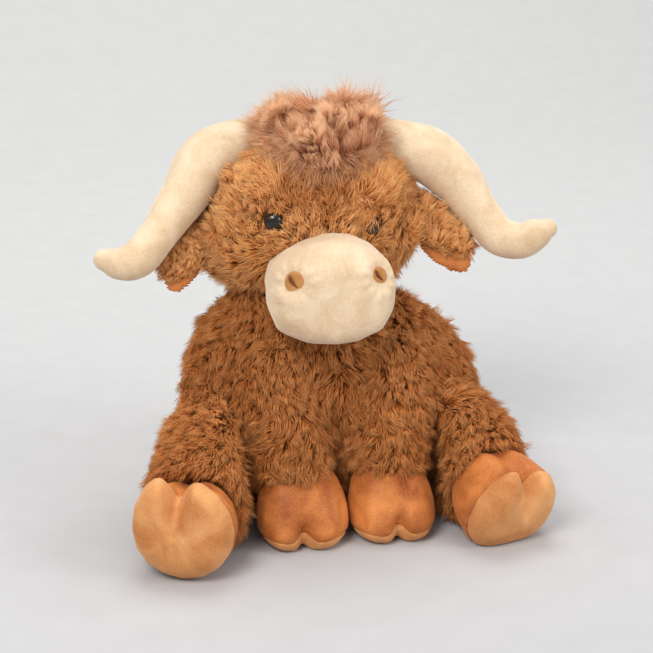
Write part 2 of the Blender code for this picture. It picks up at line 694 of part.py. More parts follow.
def make_front_leg(side, sign, body_clear, cover, stuffing):
    """A stuffed leg that swings on its shoulder, with its hoof and sole."""
    shoulder = empty(
        f"shoulder_{side}",
        Matrix.Translation((sign * SHOULDER_OUT, -SHOULDER_FORWARD, SHOULDER_HEIGHT)),
    )
    across = Vector((1.0, 0.0, 0.0))
    along = Vector((0.0, -FRONT_LEG_REACH, -FRONT_LEG_DROP)).normalized()
    rings = []
    for fall, ahead, outward, wide, deep in FRONT_LEG_SHARES:
        centre = Vector(
            (
                sign * FRONT_LEG_HALF_WIDTH * outward,
                -FRONT_LEG_REACH * ahead,
                -FRONT_LEG_DROP * fall,
            )
        )
        half_depth = FRONT_LEG_HALF_DEPTH * deep
        rings.append(
            ring(
                centre,
                across,
                along.cross(across),
                FRONT_LEG_HALF_WIDTH * wide,
                half_depth,
                half_depth,
                8,
            )
        )
    hoof_rings = []
    for up, ahead, wide, deep in FRONT_HOOF_SHARES:
        centre = Vector(
            (
                -sign * (SHOULDER_OUT - FRONT_HOOF_HALF_WIDTH - GAP - GAP),
                -FRONT_LEG_REACH - FRONT_HOOF_FORWARD - FRONT_HOOF_HALF_DEPTH * ahead * 0.5,
                FRONT_HOOF_HEIGHT * up - SHOULDER_HEIGHT - FLAT,
            )
        )
        half_depth = FRONT_HOOF_HALF_DEPTH * deep
        hoof_rings.append(
            ring(
                centre,
                across,
                Vector((0.0, -1.0, 0.0)),
                FRONT_HOOF_HALF_WIDTH * wide,
                half_depth,
                half_depth,
                8,
                CLEFT_SHARE,
            )
        )
    far = Vector((SHOULDER_HEIGHT, SHOULDER_HEIGHT, SHOULDER_HEIGHT)) * 2.0
    seam = FRONT_SOLE_HEIGHT - SHOULDER_HEIGHT
    hoof_form = form(f"front_hoof_form_{side}", hoof_rings, shoulder)
    hoof = form(f"front_hoof_{side}", hoof_rings, shoulder, SATIN)
    cut(hoof, slab(f"front_seam_below_{side}", -far, Vector((far.x, far.y, seam)), shoulder))
    sole = form(f"front_sole_{side}", hoof_rings, shoulder, SOLE)
    cut(sole, slab(f"front_seam_above_{side}", Vector((-far.x, -far.y, seam - GAP)), far, shoulder))
    cut(sole, FLOOR)
    cut(hoof, body_clear)
    cut(sole, body_clear)
    middle = slab(
        f"between_legs_{side}",
        Vector((-sign * SHOULDER_OUT * 4.0, -far.y, -far.z)),
        Vector((sign * (GAP - SHOULDER_OUT), far.y, far.z)),
        shoulder,
    )
    outer = slab(
        f"beside_front_leg_{side}",
        Vector((sign * (LEG_PARTING_OUT - SHOULDER_OUT), -far.y, -far.z)),
        Vector((sign * far.x, far.y, far.z)),
        shoulder,
    )
    corner = empty(
        f"front_corner_{side}",
        Matrix.Translation(
            (
                sign * (LEG_PARTING_OUT - SHOULDER_OUT),
                SHOULDER_FORWARD - LEG_PARTING_FORWARD - LEG_PARTING_GAP,
                -LEG_CORNER_DROP,
            )
        )
        @ Matrix.Rotation(sign * math.radians(45.0), 4, "Z"),
        shoulder,
    )
    bevel = slab(
        f"front_corner_cut_{side}",
        Vector((-sign * LEG_CORNER_CUT * math.sin(math.radians(45.0)), -far.y, -far.z)),
        Vector((sign * far.x, LEG_CORNER_CUT, 0.0)),
        corner,
    )
    shape = form(f"front_leg_form_{side}", rings, shoulder)
    clear = drawn(hoof_form, f"clear_of_front_hoof_{side}", GAP)
    passed = passing(body_clear, shoulder, "X", FRONT_LEG_SWING)
    cutters = (clear, middle, outer, bevel)
    make_leg(f"front_leg_{side}", shape, passed, shoulder, SHOULDER_RADIUS, "X", cutters)
    hole = socket(f"shoulder_socket_{side}", SHOULDER_RADIUS, shoulder, "X")
    cut(cover, hole, solver="MANIFOLD")
    cut(stuffing, hole)
    return shoulder


def passing(still, seam, axis, swing):
    """What stands still while a limb swings about its seam, as the limb meets it at each step."""
    there = Matrix.Translation(seam.matrix_basis.translation)
    met = [still]
    for step in range(1, SWING_STEPS + 1):
        one = placed(still.data, f"{still.name}_{seam.name}_{step}")
        one.matrix_basis = there @ Matrix.Rotation(swing * step / SWING_STEPS, 4, axis) @ there.inverted()
        for source in still.modifiers:
            copied = one.modifiers.new(source.name, source.type)
            if source.type == "SUBSURF":
                copied.levels = copied.render_levels = source.levels
            else:
                copied.strength = source.strength
                copied.mid_level = source.mid_level
        met.append(one)
    return met


def make_leg(name, shape, passed, seam, radius, pole, cutters):
    """A stuffed leg: its form clear of the body, joined to the ball that turns in the body."""
    leg = drawn(shape, name, 0.0, FUR)
    for one in passed:
        cut(leg, one, solver="MANIFOLD")
    half_step = math.pi / BALL_SIDES
    cut(leg, ball(f"{name}_ball", radius, seam, pole, turn=half_step), "UNION", "MANIFOLD")
    for one in (*cutters, FLOOR):
        cut(leg, one, solver="MANIFOLD")


def make_hind_leg(side, sign, body_clear, cover, stuffing):
    """A stuffed leg that lies on the floor and spreads at the hip, with its cloven hoof and sole."""
    hip = empty(
        f"hip_{side}",
        Matrix.Translation((sign * HIP_OUT, sign * HIP_TWIST - HIP_FORWARD, HIP_HEIGHT))
        @ Matrix.Rotation(sign * HIND_LEG_SPLAYS[side], 4, "Z"),
    )
    across, up = Vector((1.0, 0.0, 0.0)), Vector((0.0, 0.0, 1.0))
    rings = []
    for out, wide, top, foot in HIND_LEG_SHARES:
        high = HIP_RADIUS * top
        low = max(HIP_RADIUS * foot, -HIP_HEIGHT - FLAT)
        centre = Vector((0.0, -HIND_LEG_LENGTH * out, (high + low) / 2.0))
        half = (high - low) / 2.0
        rings.append(ring(centre, across, up, HIND_LEG_HALF_WIDTH * wide, half, half, 8))
    hoof_rings = []
    half_height = HIND_HOOF_HEIGHT / 2.0
    droop = HIND_FOOT_DROOPS[side]
    middle = half_height * math.cos(droop) - HIP_HEIGHT - FLAT
    ankle = empty(
        f"ankle_{side}",
        Matrix.Translation((0.0, -HIND_LEG_LENGTH, middle)) @ Matrix.Rotation(droop, 4, "X"),
        hip,
    )
    for out, wide, high in HIND_HOOF_SHARES:
        centre = Vector((0.0, -HIND_HOOF_LENGTH * out, 0.0))
        half = half_height * high
        hoof_rings.append(
            ring(
                centre, across, up, HIND_HOOF_HALF_WIDTH * wide, half, half, 8, CLEFT_SHARE * max(out, 0.0)
            )
        )
    far = Vector((HIND_LEG_LENGTH, HIND_LEG_LENGTH, HIND_LEG_LENGTH)) * 3.0
    seam = HIND_SOLE_DEPTH - HIND_HOOF_LENGTH
    hoof_form = form(f"hind_hoof_form_{side}", hoof_rings, ankle)
    hoof = form(f"hind_hoof_{side}", hoof_rings, ankle, SATIN)
    cut(hoof, slab(f"hind_seam_front_{side}", -far, Vector((far.x, seam, far.z)), ankle))
    cut(hoof, FLOOR)
    sole = form(f"hind_sole_{side}", hoof_rings, ankle, SOLE)
    cut(sole, slab(f"hind_seam_back_{side}", Vector((-far.x, seam - GAP, -far.z)), far, ankle))
    cut(sole, FLOOR)
    between = slab(
        f"beside_hind_leg_{side}",
        Vector((-sign * far.x, -far.y, -far.z)),
        Vector((sign * (LEG_PARTING_OUT + LEG_PARTING_GAP), LEG_PARTING_GAP - LEG_PARTING_FORWARD, far.z)),
    )
    shape = form(f"hind_leg_form_{side}", rings, hip)
    clear = drawn(hoof_form, f"clear_of_hind_hoof_{side}", GAP)
    passed = passing(body_clear, hip, "Z", -sign * HIND_LEG_SPREAD)
    parting = passing(between, hip, "Z", -sign * HIND_LEG_SPREAD)
    make_leg(f"hind_leg_{side}", shape, passed, hip, HIP_RADIUS, "Z", (clear, *parting))
    hole = socket(f"hip_socket_{side}", HIP_RADIUS, hip)
    cut(cover, hole, solver="MANIFOLD")
    cut(stuffing, hole)
    return hip


def make_tail(cover, stuffing):
    """A thin stuffed tail with a tuft, which hangs from the rump and swings from side to side."""
    root = empty("tail_root", Matrix.Translation((0.0, BODY_BACK, TAIL_ROOT_HEIGHT)))
    along = Vector((0.0, math.cos(TAIL_SLOPE), -math.sin(TAIL_SLOPE)))
    across = Vector((1.0, 0.0, 0.0))
    up = along.cross(across)
    rings = []
    for out, wide in TAIL_SHARES:
        radius = TAIL_RADIUS * wide
        rings.append(ring(along * (TAIL_LENGTH * out), across, up, radius, radius, radius, 6))
    tail = form("tail", rings, root, FUR)
    cut(tail, ball("tail_ball", TAIL_ROOT_RADIUS, root), "UNION", "MANIFOLD")
    tuft_rings = []
    for out, wide in TUFT_SHARES:
        centre = along * (TAIL_LENGTH + TUFT_LENGTH * (out - TUFT_OVERLAP_SHARE))
        radius = TUFT_RADIUS * wide
        tuft_rings.append(ring(centre, across, up, radius, radius, radius, 6))
    tuft = form("tail_tuft", tuft_rings, root, LOCKS)
    cut(tail, drawn(tuft, "clear_of_tuft", GAP), solver="MANIFOLD")
    hole = socket("tail_socket", TAIL_ROOT_RADIUS, root)
    cut(cover, hole, solver="MANIFOLD")
    cut(stuffing, hole)
    return root


for old in list(bpy.data.objects):
    bpy.data.objects.remove(old)

PARTS = fresh_collection("plush_cow")
CUTTERS = fresh_collection("cutters")

FUR = material("long_pile_fur", (0.36, 0.17, 0.075), 0.9)
CREAM = material("short_cream_plush", (0.80, 0.68, 0.50), 0.85)
TAN = material("tan_suede", (0.50, 0.28, 0.12), 0.8)
GLOSS = material("black_eye", (0.01, 0.01, 0.01), 0.08)
WASHER = material("white_washer", (0.75, 0.75, 0.73), 0.5)
SATIN = material("burnt_orange_satin", (0.52, 0.16, 0.035), 0.6)
SOLE = material("light_orange_satin", (0.72, 0.34, 0.13), 0.65)
LOCKS = material("mauve_brown_hair", (0.28, 0.13, 0.08), 0.85)
FILLING = material("polyester_filling", (0.85, 0.85, 0.82), 0.95)
BAG = material("pellet_bag_cloth", (0.80, 0.78, 0.70), 0.9)

NOSTRIL_FACING = {
    side: Matrix.Rotation(sign * NOSTRIL_OUTWARD, 4, "Z") @ Matrix.Rotation(math.pi / 2.0, 4, "X")
    for side, sign in SIDES.items()
}

reach = Vector((HORN_REACH, HORN_REACH, HORN_REACH)) * 3.0
FLOOR = slab("floor", -reach, Vector((reach.x, reach.y, 0.0)))
NECK = empty("neck", Matrix.Translation((-BODY_LEAN, NECK_BACK, NECK_HEIGHT)))
HEAD = empty("head", Matrix(), NECK)

torso_form, body_cover, body_stuffing = make_torso()
skull_form, neck_seat, head_cover, head_stuffing = make_head()
make_muzzle(skull_form, neck_seat)
make_eyes(head_cover, head_stuffing)
make_forelock(skull_form)
clear_of_body = drawn(torso_form, "clear_of_body", GAP)
for side_name, side_sign in SIDES.items():
    side_horn = make_horn(side_name, side_sign, skull_form)
    make_ear(side_name, side_sign, skull_form, side_horn)
    make_front_leg(side_name, side_sign, clear_of_body, body_cover, body_stuffing)
    make_hind_leg(side_name, side_sign, clear_of_body, body_cover, body_stuffing)
make_tail(body_cover, body_stuffing)
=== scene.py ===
"""Looks of the sitting plush cow: smoothed stuffed skins, a pile of tapered strands, eyes and stage."""

from math import cos, pi, radians, sin, tau

import bmesh
import bpy
import numpy as np
from mathutils import Matrix, Vector
from mathutils.bvhtree import BVHTree
from mathutils.kdtree import KDTree


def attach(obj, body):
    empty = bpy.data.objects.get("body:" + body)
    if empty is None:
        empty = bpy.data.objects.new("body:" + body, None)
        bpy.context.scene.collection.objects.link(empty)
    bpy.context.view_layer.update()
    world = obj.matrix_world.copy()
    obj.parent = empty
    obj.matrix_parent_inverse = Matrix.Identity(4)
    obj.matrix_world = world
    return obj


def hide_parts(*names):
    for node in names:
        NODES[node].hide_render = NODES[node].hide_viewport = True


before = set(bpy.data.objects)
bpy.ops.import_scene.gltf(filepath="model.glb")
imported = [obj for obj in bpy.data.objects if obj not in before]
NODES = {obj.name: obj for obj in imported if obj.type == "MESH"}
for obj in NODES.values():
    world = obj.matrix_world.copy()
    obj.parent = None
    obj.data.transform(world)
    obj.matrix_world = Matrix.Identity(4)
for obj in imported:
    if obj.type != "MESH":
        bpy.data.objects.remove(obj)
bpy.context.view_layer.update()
SIDES = (("left", 1), ("right", -1))
# Places on the head are counted from the neck
NECK = Vector((-0.0085, 0.004, 0.140))
# The eyes and the nostrils look this far to each side
FACE_TURN = radians(24.0)

# Camera, as fitted to the photograph
PICTURE_SIDE = 653
MIDDLE = PICTURE_SIDE / 2.0
PIXEL = 0.00064
AZIMUTH = radians(-12.5)
ELEVATION = radians(18.0)
DISTANCE = 1.5
SENSOR = 36.0
AIM_RIGHT, AIM_UP = 0.00416, 0.1072

ASIDE, AHEAD = sin(AZIMUTH), cos(AZIMUTH)
STEEP, LEVEL = sin(ELEVATION), cos(ELEVATION)
BACK = Vector((ASIDE * LEVEL, -AHEAD * LEVEL, STEEP))
RIGHT = Vector((AHEAD, ASIDE, 0.0))
UP = Vector((-ASIDE * STEEP, AHEAD * STEEP, LEVEL))
EYE_POINT = RIGHT * AIM_RIGHT + UP * AIM_UP + BACK * DISTANCE


def placed(name, data):
    made = bpy.data.objects.new(name, data)
    bpy.context.scene.collection.objects.link(made)
    return made


camera_data = bpy.data.cameras.new("camera")
camera_data.sensor_width = SENSOR
camera_data.lens = SENSOR * DISTANCE / (PICTURE_SIDE * PIXEL)
camera = placed("camera", camera_data)
camera.matrix_world = Matrix((*zip(RIGHT, UP, BACK, EYE_POINT), (0.0, 0.0, 0.0, 1.0)))
bpy.context.scene.camera = camera


def picture(points):
    """Where points fall in the picture, across and up from its middle, in metres at the aim."""
    offset = points - np.array(EYE_POINT)
    depth = -(offset @ np.array(BACK))
    scale = DISTANCE / depth
    return (offset @ np.array(RIGHT)) * scale, (offset @ np.array(UP)) * scale


def in_pixels(points):
    """Where points fall in the picture, across and down in pixels."""
    across, upward = picture(points)
    return across / PIXEL + MIDDLE, MIDDLE - upward / PIXEL


def line_of_sight(across, down):
    """The way from the camera through a place in the picture given in pixels."""
    way = RIGHT * ((across - MIDDLE) * PIXEL) + UP * ((MIDDLE - down) * PIXEL) - BACK * DISTANCE
    return way.normalized()


# Materials


def set_inputs(node, values):
    for name, value in values.items():
        node.inputs[name].default_value = value


def feed(output, node, name):
    """Links an output to one of a node's inputs."""
    node.id_data.links.new(output, node.inputs[name])


def nodes_of(name):
    made = bpy.data.materials.new(name)
    made.use_nodes = True
    tree = made.node_tree
    return made, tree, tree.nodes["Principled BSDF"]


def add(tree, kind, **values):
    """A new shader node with some of its inputs set."""
    made = tree.nodes.new(f"ShaderNode{kind}")
    set_inputs(made, values)
    return made


def noise(tree, **values):
    """Noise over the piece's own space, as an output."""
    made = add(tree, "TexNoise", **values)
    feed(add(tree, "TexCoord").outputs["Object"], made, "Vector")
    return made.outputs["Fac"]


def ramp(tree, share, places, colours):
    """Colours that change along a share, as an output."""
    node = add(tree, "ValToRGB")
    bands = node.color_ramp
    while len(bands.elements) < len(places):
        bands.elements.new(0.5)
    for element, place, colour in zip(bands.elements, places, colours):
        element.position = place
        element.color = (*colour, 1.0)
    feed(share, node, "Fac")
    return node.outputs["Color"]


def mixed(tree, share, first, second):
    """Two colours mixed by a share, as an output."""
    mix = add(tree, "Mix")
    mix.data_type = "RGBA"
    for output, name in ((share, "Factor"), (first, "A"), (second, "B")):
        feed(output, mix, name)
    return mix.outputs["Result"]


def times(tree, value, factor, plus=0.0):
    """A node that multiplies a value and adds to it."""
    node = add(tree, "Math")
    node.operation = "MULTIPLY_ADD"
    feed(value, node, 0)
    set_inputs(node, {1: factor, 2: plus})
    return node


def linear(*display):
    """Display colours from 0 to 255 as linear light."""
    out = []
    for colour in display:
        shares = [value / 255.0 for value in colour]
        out.append(tuple(s / 12.92 if s <= 0.04045 else ((s + 0.055) / 1.055) ** 2.4 for s in shares))
    return out


def surface(shader, colour, roughness, specular, sheen=0.0, sheen_roughness=0.5, tint=None):
    feed(colour, shader, "Base Color")
    set_inputs(shader, {"Roughness": roughness, "Specular IOR Level": specular, "Sheen Weight": sheen})
    set_inputs(shader, {"Sheen Roughness": sheen_roughness})
    if tint:
        set_inputs(shader, {"Sheen Tint": (*linear(tint)[0], 1.0)})


def strand_material(name, one, two, roughness=0.62, sheen=0.25):
    """Two families of strands (by U), each with colours at root, middle and tip (along V). Darker roots and
    paler tips are partly the pile's own two tones, partly painted shade between strands and painted light on
    the tips.
    """
    made, tree, shader = nodes_of(name)
    uv = add(tree, "UVMap")
    uv.uv_map = "Strand"
    split = add(tree, "SeparateXYZ")
    feed(uv.outputs["UV"], split, "Vector")
    along = split.outputs["Y"]
    # the darker root colours are partly painted shade, the paler tip colours partly painted light
    first = ramp(tree, along, (0.0, 0.38, 0.95), linear(*one))
    second = ramp(tree, along, (0.0, 0.45, 1.0), linear(*two))
    colours = mixed(tree, split.outputs["X"], first, second)
    surface(shader, colours, roughness, 0.12, sheen, tint=one[-1])
    return made


def plush_material(name, low, high, grain, patch, roughness, sheen, bump=0.35, edge=None):
    """Short plush: a fine nap, with broad patches where it was stroked another way."""
    made, tree, shader = nodes_of(name)
    fine = noise(tree, Scale=grain, Detail=3.0)
    broad = times(tree, noise(tree, Scale=patch, Detail=4.0, Distortion=0.6), 1.5, -0.6)
    blend = times(tree, fine, 0.7)
    feed(broad.outputs["Value"], blend, 2)
    colours = ramp(tree, blend.outputs["Value"], (0.15, 0.85), linear(low, high))
    surface(shader, colours, roughness, 0.25, sheen, 0.45, edge)
    bumps = add(tree, "Bump", Strength=bump, Distance=0.0006)
    feed(fine, bumps, "Height")
    feed(bumps.outputs["Normal"], shader, "Normal")
    return made


def gloss_material():
    """The eyes: near black, with a clear coat."""
    made, tree, shader = nodes_of("eye_gloss")
    shades = ((0.004, 0.003, 0.003), (0.018, 0.012, 0.009))
    surface(shader, ramp(tree, noise(tree, Scale=260.0), (0.3, 0.8), shades), 0.07, 0.30)
    set_inputs(shader, {"Coat Weight": 0.35, "Coat Roughness": 0.05})
    return made


# Each pile's colours at root, middle and tip: the dark roots are partly painted shade, the pale tips partly
# painted light
FUR = strand_material(
    "body_pile",
    ((122, 61, 23), (197, 116, 55), (238, 174, 112)),
    ((104, 50, 17), (177, 98, 41), (223, 153, 87)),
)
BROW = strand_material(
    "head_pile",
    ((126, 64, 24), (226, 143, 72), (254, 206, 146)),
    ((110, 54, 19), (208, 125, 58), (246, 184, 116)),
)
EAR_FUR = strand_material(
    "ear_pile",
    ((150, 82, 36), (234, 156, 86), (254, 206, 146)),
    ((132, 70, 28), (218, 138, 70), (244, 186, 122)),
)
HAIR = strand_material(
    "forelock_hair",
    ((134, 76, 48), (208, 133, 89), (252, 210, 168)),
    ((108, 60, 38), (182, 113, 75), (238, 184, 140)),
    roughness=0.5,
    sheen=0.15,
)
# Each plush: its two colours, the scales of its nap and patches, its roughness and its sheen
BACKING = plush_material("pile_backing", (120, 66, 30), (164, 98, 50), 700.0, 60.0, 0.95, 0.1)
HAIR_BACKING = plush_material("hair_backing", (104, 62, 46), (140, 90, 66), 700.0, 60.0, 0.95, 0.1)
CREAM = plush_material(
    "cream_plush", (200, 171, 136), (226, 204, 175), 800.0, 60.0, 0.9, 0.6, edge=(255, 246, 226)
)
ORANGE = plush_material(
    "burnt_orange_plush", (132, 58, 18), (214, 134, 70), 1300.0, 42.0, 0.55, 0.5, 0.25, (240, 160, 100)
)
SOLE = plush_material(
    "light_orange_plush", (176, 104, 50), (222, 162, 104), 1300.0, 42.0, 0.6, 0.5, 0.25, (250, 200, 150)
)
TAN = plush_material("tan_suede", (158, 100, 50), (192, 136, 82), 1500.0, 80.0, 0.85, 0.3, 0.3)
SLIT = plush_material("slit_shade", (92, 48, 20), (120, 68, 32), 1500.0, 80.0, 0.9, 0.1, 0.2)
GLOSS = gloss_material()

LONG_FUR, LONG_HAIR = "long_pile_fur", "mauve_brown_hair"


# Meshes


def linked(name, mesh, finish, body):
    made = placed(name, mesh)
    mesh.materials.clear()
    mesh.materials.append(finish)
    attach(made, body)
    return made


def skin(name, mesh, body, finish, slot, *replaced, fill=0.75):
    made = linked(name, mesh, finish, body)
    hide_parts(*replaced)
    return made


def new_mesh(name, points, faces):
    made = bpy.data.meshes.new(name)
    made.from_pydata([tuple(p) for p in points], [], faces)
    return made


def closed_mesh(name, points, faces):
    """A smooth mesh whose faces look outward."""
    mesh = new_mesh(name, points, faces)
    if sum(mesh.vertices[f.vertices[0]].co.dot(f.normal) * f.area for f in mesh.polygons) < 0.0:
        mesh.flip_normals()
    mesh.shade_smooth()
    return mesh


def ring_faces(rings, steps):
    """The four-sided faces between rings of points."""
    faces = []
    for k in range(rings - 1):
        for s in range(steps):
            here, beside = k * steps + s, k * steps + (s + 1) % steps
            faces.append((here, beside, beside + steps, here + steps))
    return faces


def node_mesh(*names):
    """The meshes of some CAD nodes as one."""
    points, faces, first = [], [], 0
    for name in names:
        source = NODES[name]
        mesh = source.data
        points += [source.matrix_world @ v.co for v in mesh.vertices]
        faces += [tuple(first + i for i in p.vertices) for p in mesh.polygons]
        first += len(mesh.vertices)
    return new_mesh("joined", points, faces)


def relax(work, rounds):
    smooth = work.modifiers.new("relax", "SMOOTH")
    smooth.factor = 0.5
    smooth.iterations = rounds


def smoothed(voxel, rounds, push, *names):
    """Some CAD nodes remeshed, rounded off and pushed out or drawn in, as one mesh."""
    work = placed("work", node_mesh(*names))
    remesh = work.modifiers.new("remesh", "REMESH")
    remesh.mode = "VOXEL"
    remesh.voxel_size = voxel
    remesh.use_smooth_shade = True
    relax(work, rounds)
    if push:
        move = work.modifiers.new("push", "DISPLACE")
        move.strength = push
        move.mid_level = 0.0
        relax(work, max(2, rounds // 3))
    graph = bpy.context.evaluated_depsgraph_get()
    out = bpy.data.meshes.new_from_object(work.evaluated_get(graph), depsgraph=graph)
    bpy.data.objects.remove(work)
    out.shade_smooth()
    return out


def coords(mesh):
    flat = np.empty(len(mesh.vertices) * 3)
    mesh.vertices.foreach_get("co", flat)
    return flat.reshape(-1, 3)


def normals(mesh):
    flat = np.empty(len(mesh.vertices) * 3)
    mesh.vertex_normals.foreach_get("vector", flat)
    return flat.reshape(-1, 3)


def set_coords(mesh, points):
    mesh.vertices.foreach_set("co", points.ravel())
    mesh.update()


def above_floor(points, gap):
    points[:, 2] = np.maximum(points[:, 2], gap)


def outer_only(mesh):
    """Keeps the largest closed shell: the others line hollows that nobody sees."""
    work = bmesh.new()
    work.from_mesh(mesh)
    left, shells = set(work.verts), []
    while left:
        stack, shell = [left.pop()], []
        while stack:
            here = stack.pop()
            shell.append(here)
            beside = {edge.other_vert(here) for edge in here.link_edges} & left
            left -= beside
            stack += beside
        shells.append(shell)
    for shell in sorted(shells, key=len)[:-1]:
        bmesh.ops.delete(work, geom=shell, context="VERTS")
    work.to_mesh(mesh)
    work.free()
    mesh.update()
    return mesh


def tree_of(mesh):
    return BVHTree.FromPolygons([v.co for v in mesh.vertices], [tuple(p.vertices) for p in mesh.polygons])


def solid(mesh):
    """A mesh as something that strands keep out of."""
    co = coords(mesh)
    return tree_of(mesh), co.min(axis=0), co.max(axis=0)


def unit(v):
    return v / np.maximum(np.linalg.norm(v, axis=1, keepdims=True), 1e-9)


def distance(points, place):
    return np.linalg.norm(points - np.array(place), axis=1)


def bell(x):
    """1 at the middle, fading to both sides."""
    return np.exp(-(x**2))


def rising(values, start, over):
    """From 0 at the start to 1 further up."""
    return np.clip((values - start) / over, 0.0, 1.0)


def falling(values, start, over):
    """From 0 at the start to 1 further down."""
    return np.clip((start - values) / over, 0.0, 1.0)


def swirl(points, scale, seed, waves=5, size=2.2):
    """A smooth random vector field, so that the pile turns this way and that in patches."""
    rng = np.random.default_rng(seed)
    out = np.zeros_like(points)
    for _ in range(waves):
        wave = rng.normal(size=(3, 3)) / scale
        phase = rng.random(3) * tau
        out += np.sin(points @ wave + phase)
    return out / size


# A line along no wall of the solids
SKEW = Vector((0.31, 0.22, 0.92)).normalized()


def within(point, tree):
    """Whether a point lies in a closed solid: the first wall along a line is met from behind."""
    wall = tree.ray_cast(point, SKEW)
    return wall[0] is not None and wall[1].dot(SKEW) > 0.0


def inside_any(points, trees, margin=0.0):
    """Which points lie within one of the solids, or nearer than the margin."""
    out = np.zeros(len(points), dtype=bool)
    for tree, low, high in trees:
        near = np.all((points > low - margin) & (points < high + margin), axis=1) & ~out
        for i in np.nonzero(near)[0]:
            point = Vector(points[i])
            out[i] = within(point, tree) or (margin > 0.0 and tree.find_nearest(point, margin)[0] is not None)
    return out


def tucked(mesh, under, by):
    """The mesh with what stands out of another one drawn under it."""
    points = coords(mesh)
    tree = tree_of(under)
    for i, place in enumerate(points):
        point = Vector(place)
        if not within(point, tree) or tree.find_nearest(point, by)[0] is not None:
            found = tree.find_nearest(point)
            points[i] = found[0] - found[1] * by
    set_coords(mesh, points)
    return mesh


def shares_of(mesh, trees, out):
    """The mesh parted by the solid that lies nearest to each face once pushed out."""
    names = list(trees)
    owned = {name: [] for name in names}
    for face in mesh.polygons:
        place = face.center + face.normal * out
        gaps = [trees[name].find_nearest(place)[3] for name in names]
        owned[names[gaps.index(min(gaps))]].append(tuple(face.vertices))
    parts = {}
    for name, faces in owned.items():
        used = sorted({i for face in faces for i in face})
        number = {old: new for new, old in enumerate(used)}
        moved = [tuple(number[i] for i in f) for f in faces]
        parts[name] = new_mesh(f"{name}_part", [mesh.vertices[i].co for i in used], moved)
    return parts


def shaped(mesh, *bumps):
    """Soft bumps and hollows: each has a centre, a radius and a push along the way given."""
    points = coords(mesh)
    for centre, radius, way in bumps:
        points += bell(distance(points, centre) / radius)[:, None] * np.array(way)
    set_coords(mesh, points)


# Strands

STRANDS_A_PIECE = 19000
# Each strand's faces: their corners, and the side of the strand's tone on which each lies in U
STRAND_FACES = (
    ((0, 1, 4), (-1, 1, 1)),
    ((0, 4, 3), (-1, 1, -1)),
    ((1, 2, 5), (-1, 1, 1)),
    ((1, 5, 4), (-1, 1, -1)),
    ((2, 0, 3), (-1, 1, -1)),
    ((2, 3, 5), (-1, 1, 1)),
    ((3, 4, 6), (-1, 1, 0)),
    ((4, 5, 6), (-1, 1, 0)),
    ((5, 3, 6), (-1, 1, 0)),
    ((2, 1, 0), (1, 0, -1)),
)
# How far along the strand its points lie in V: three at the root, three midway and the tip
ALONG = np.array([0.0, 0.0, 0.0, 0.52, 0.52, 0.52, 1.0])
MID_WIDTH = 0.82
TONE_SPAN = 0.0025
BASE_CORNER = 0.012
ACROSS_STRANDS = np.array([0.31, 0.52, 0.79])
# How far roots and tips keep from other solids, and from the floor
ROOT_GAP, TIP_GAP = 0.0006, 0.0002
TIP_HEIGHT, ROOT_HEIGHT, HEIGHT_SPREAD = 0.0006, 0.0010, 0.001


def strand_object(name, roots, mids, tips, widths, tones, finish, body):
    """Closed three-sided tapered strands, each with its colour map: U is its tone and V runs to its tip."""
    count = len(roots)
    axis = unit(mids - roots)
    side = unit(np.cross(axis, ACROSS_STRANDS))
    other = np.cross(axis, side)
    verts = np.empty((count, 7, 3))
    for k in range(3):
        turn = tau * k / 3.0
        step = (side * cos(turn) + other * sin(turn)) * widths[:, None] * 0.5
        verts[:, k] = roots + step
        verts[:, 3 + k] = mids + step * MID_WIDTH
    verts[:, 6] = tips
    faces, wide_shares = (np.array(part) for part in zip(*STRAND_FACES))
    mesh = bpy.data.meshes.new(name)
    mesh.vertices.add(count * 7)
    mesh.vertices.foreach_set("co", verts.ravel())
    loops = (faces[None] + (np.arange(count) * 7)[:, None, None]).reshape(-1)
    mesh.loops.add(len(loops))
    mesh.loops.foreach_set("vertex_index", loops.astype(np.int32))
    total = count * len(faces)
    mesh.polygons.add(total)
    mesh.polygons.foreach_set("loop_start", np.arange(0, total * 3, 3, dtype=np.int32))
    mesh.update(calc_edges=True)
    mesh.shade_smooth()
    u = np.clip(tones, 0.01, 0.99)[:, None, None] + wide_shares[None] * TONE_SPAN
    v = np.broadcast_to(np.clip(ALONG[faces], 0.004, 0.996)[None], (count, len(faces), 3)).copy()
    v[:, 9, 1] = BASE_CORNER
    uv = np.stack([u, v], axis=-1).astype(np.float32).ravel()
    for layer in ("Strand", "OFBake"):
        mesh.uv_layers.new(name=layer).data.foreach_set("uv", uv)
    return linked(name, mesh, finish, body)


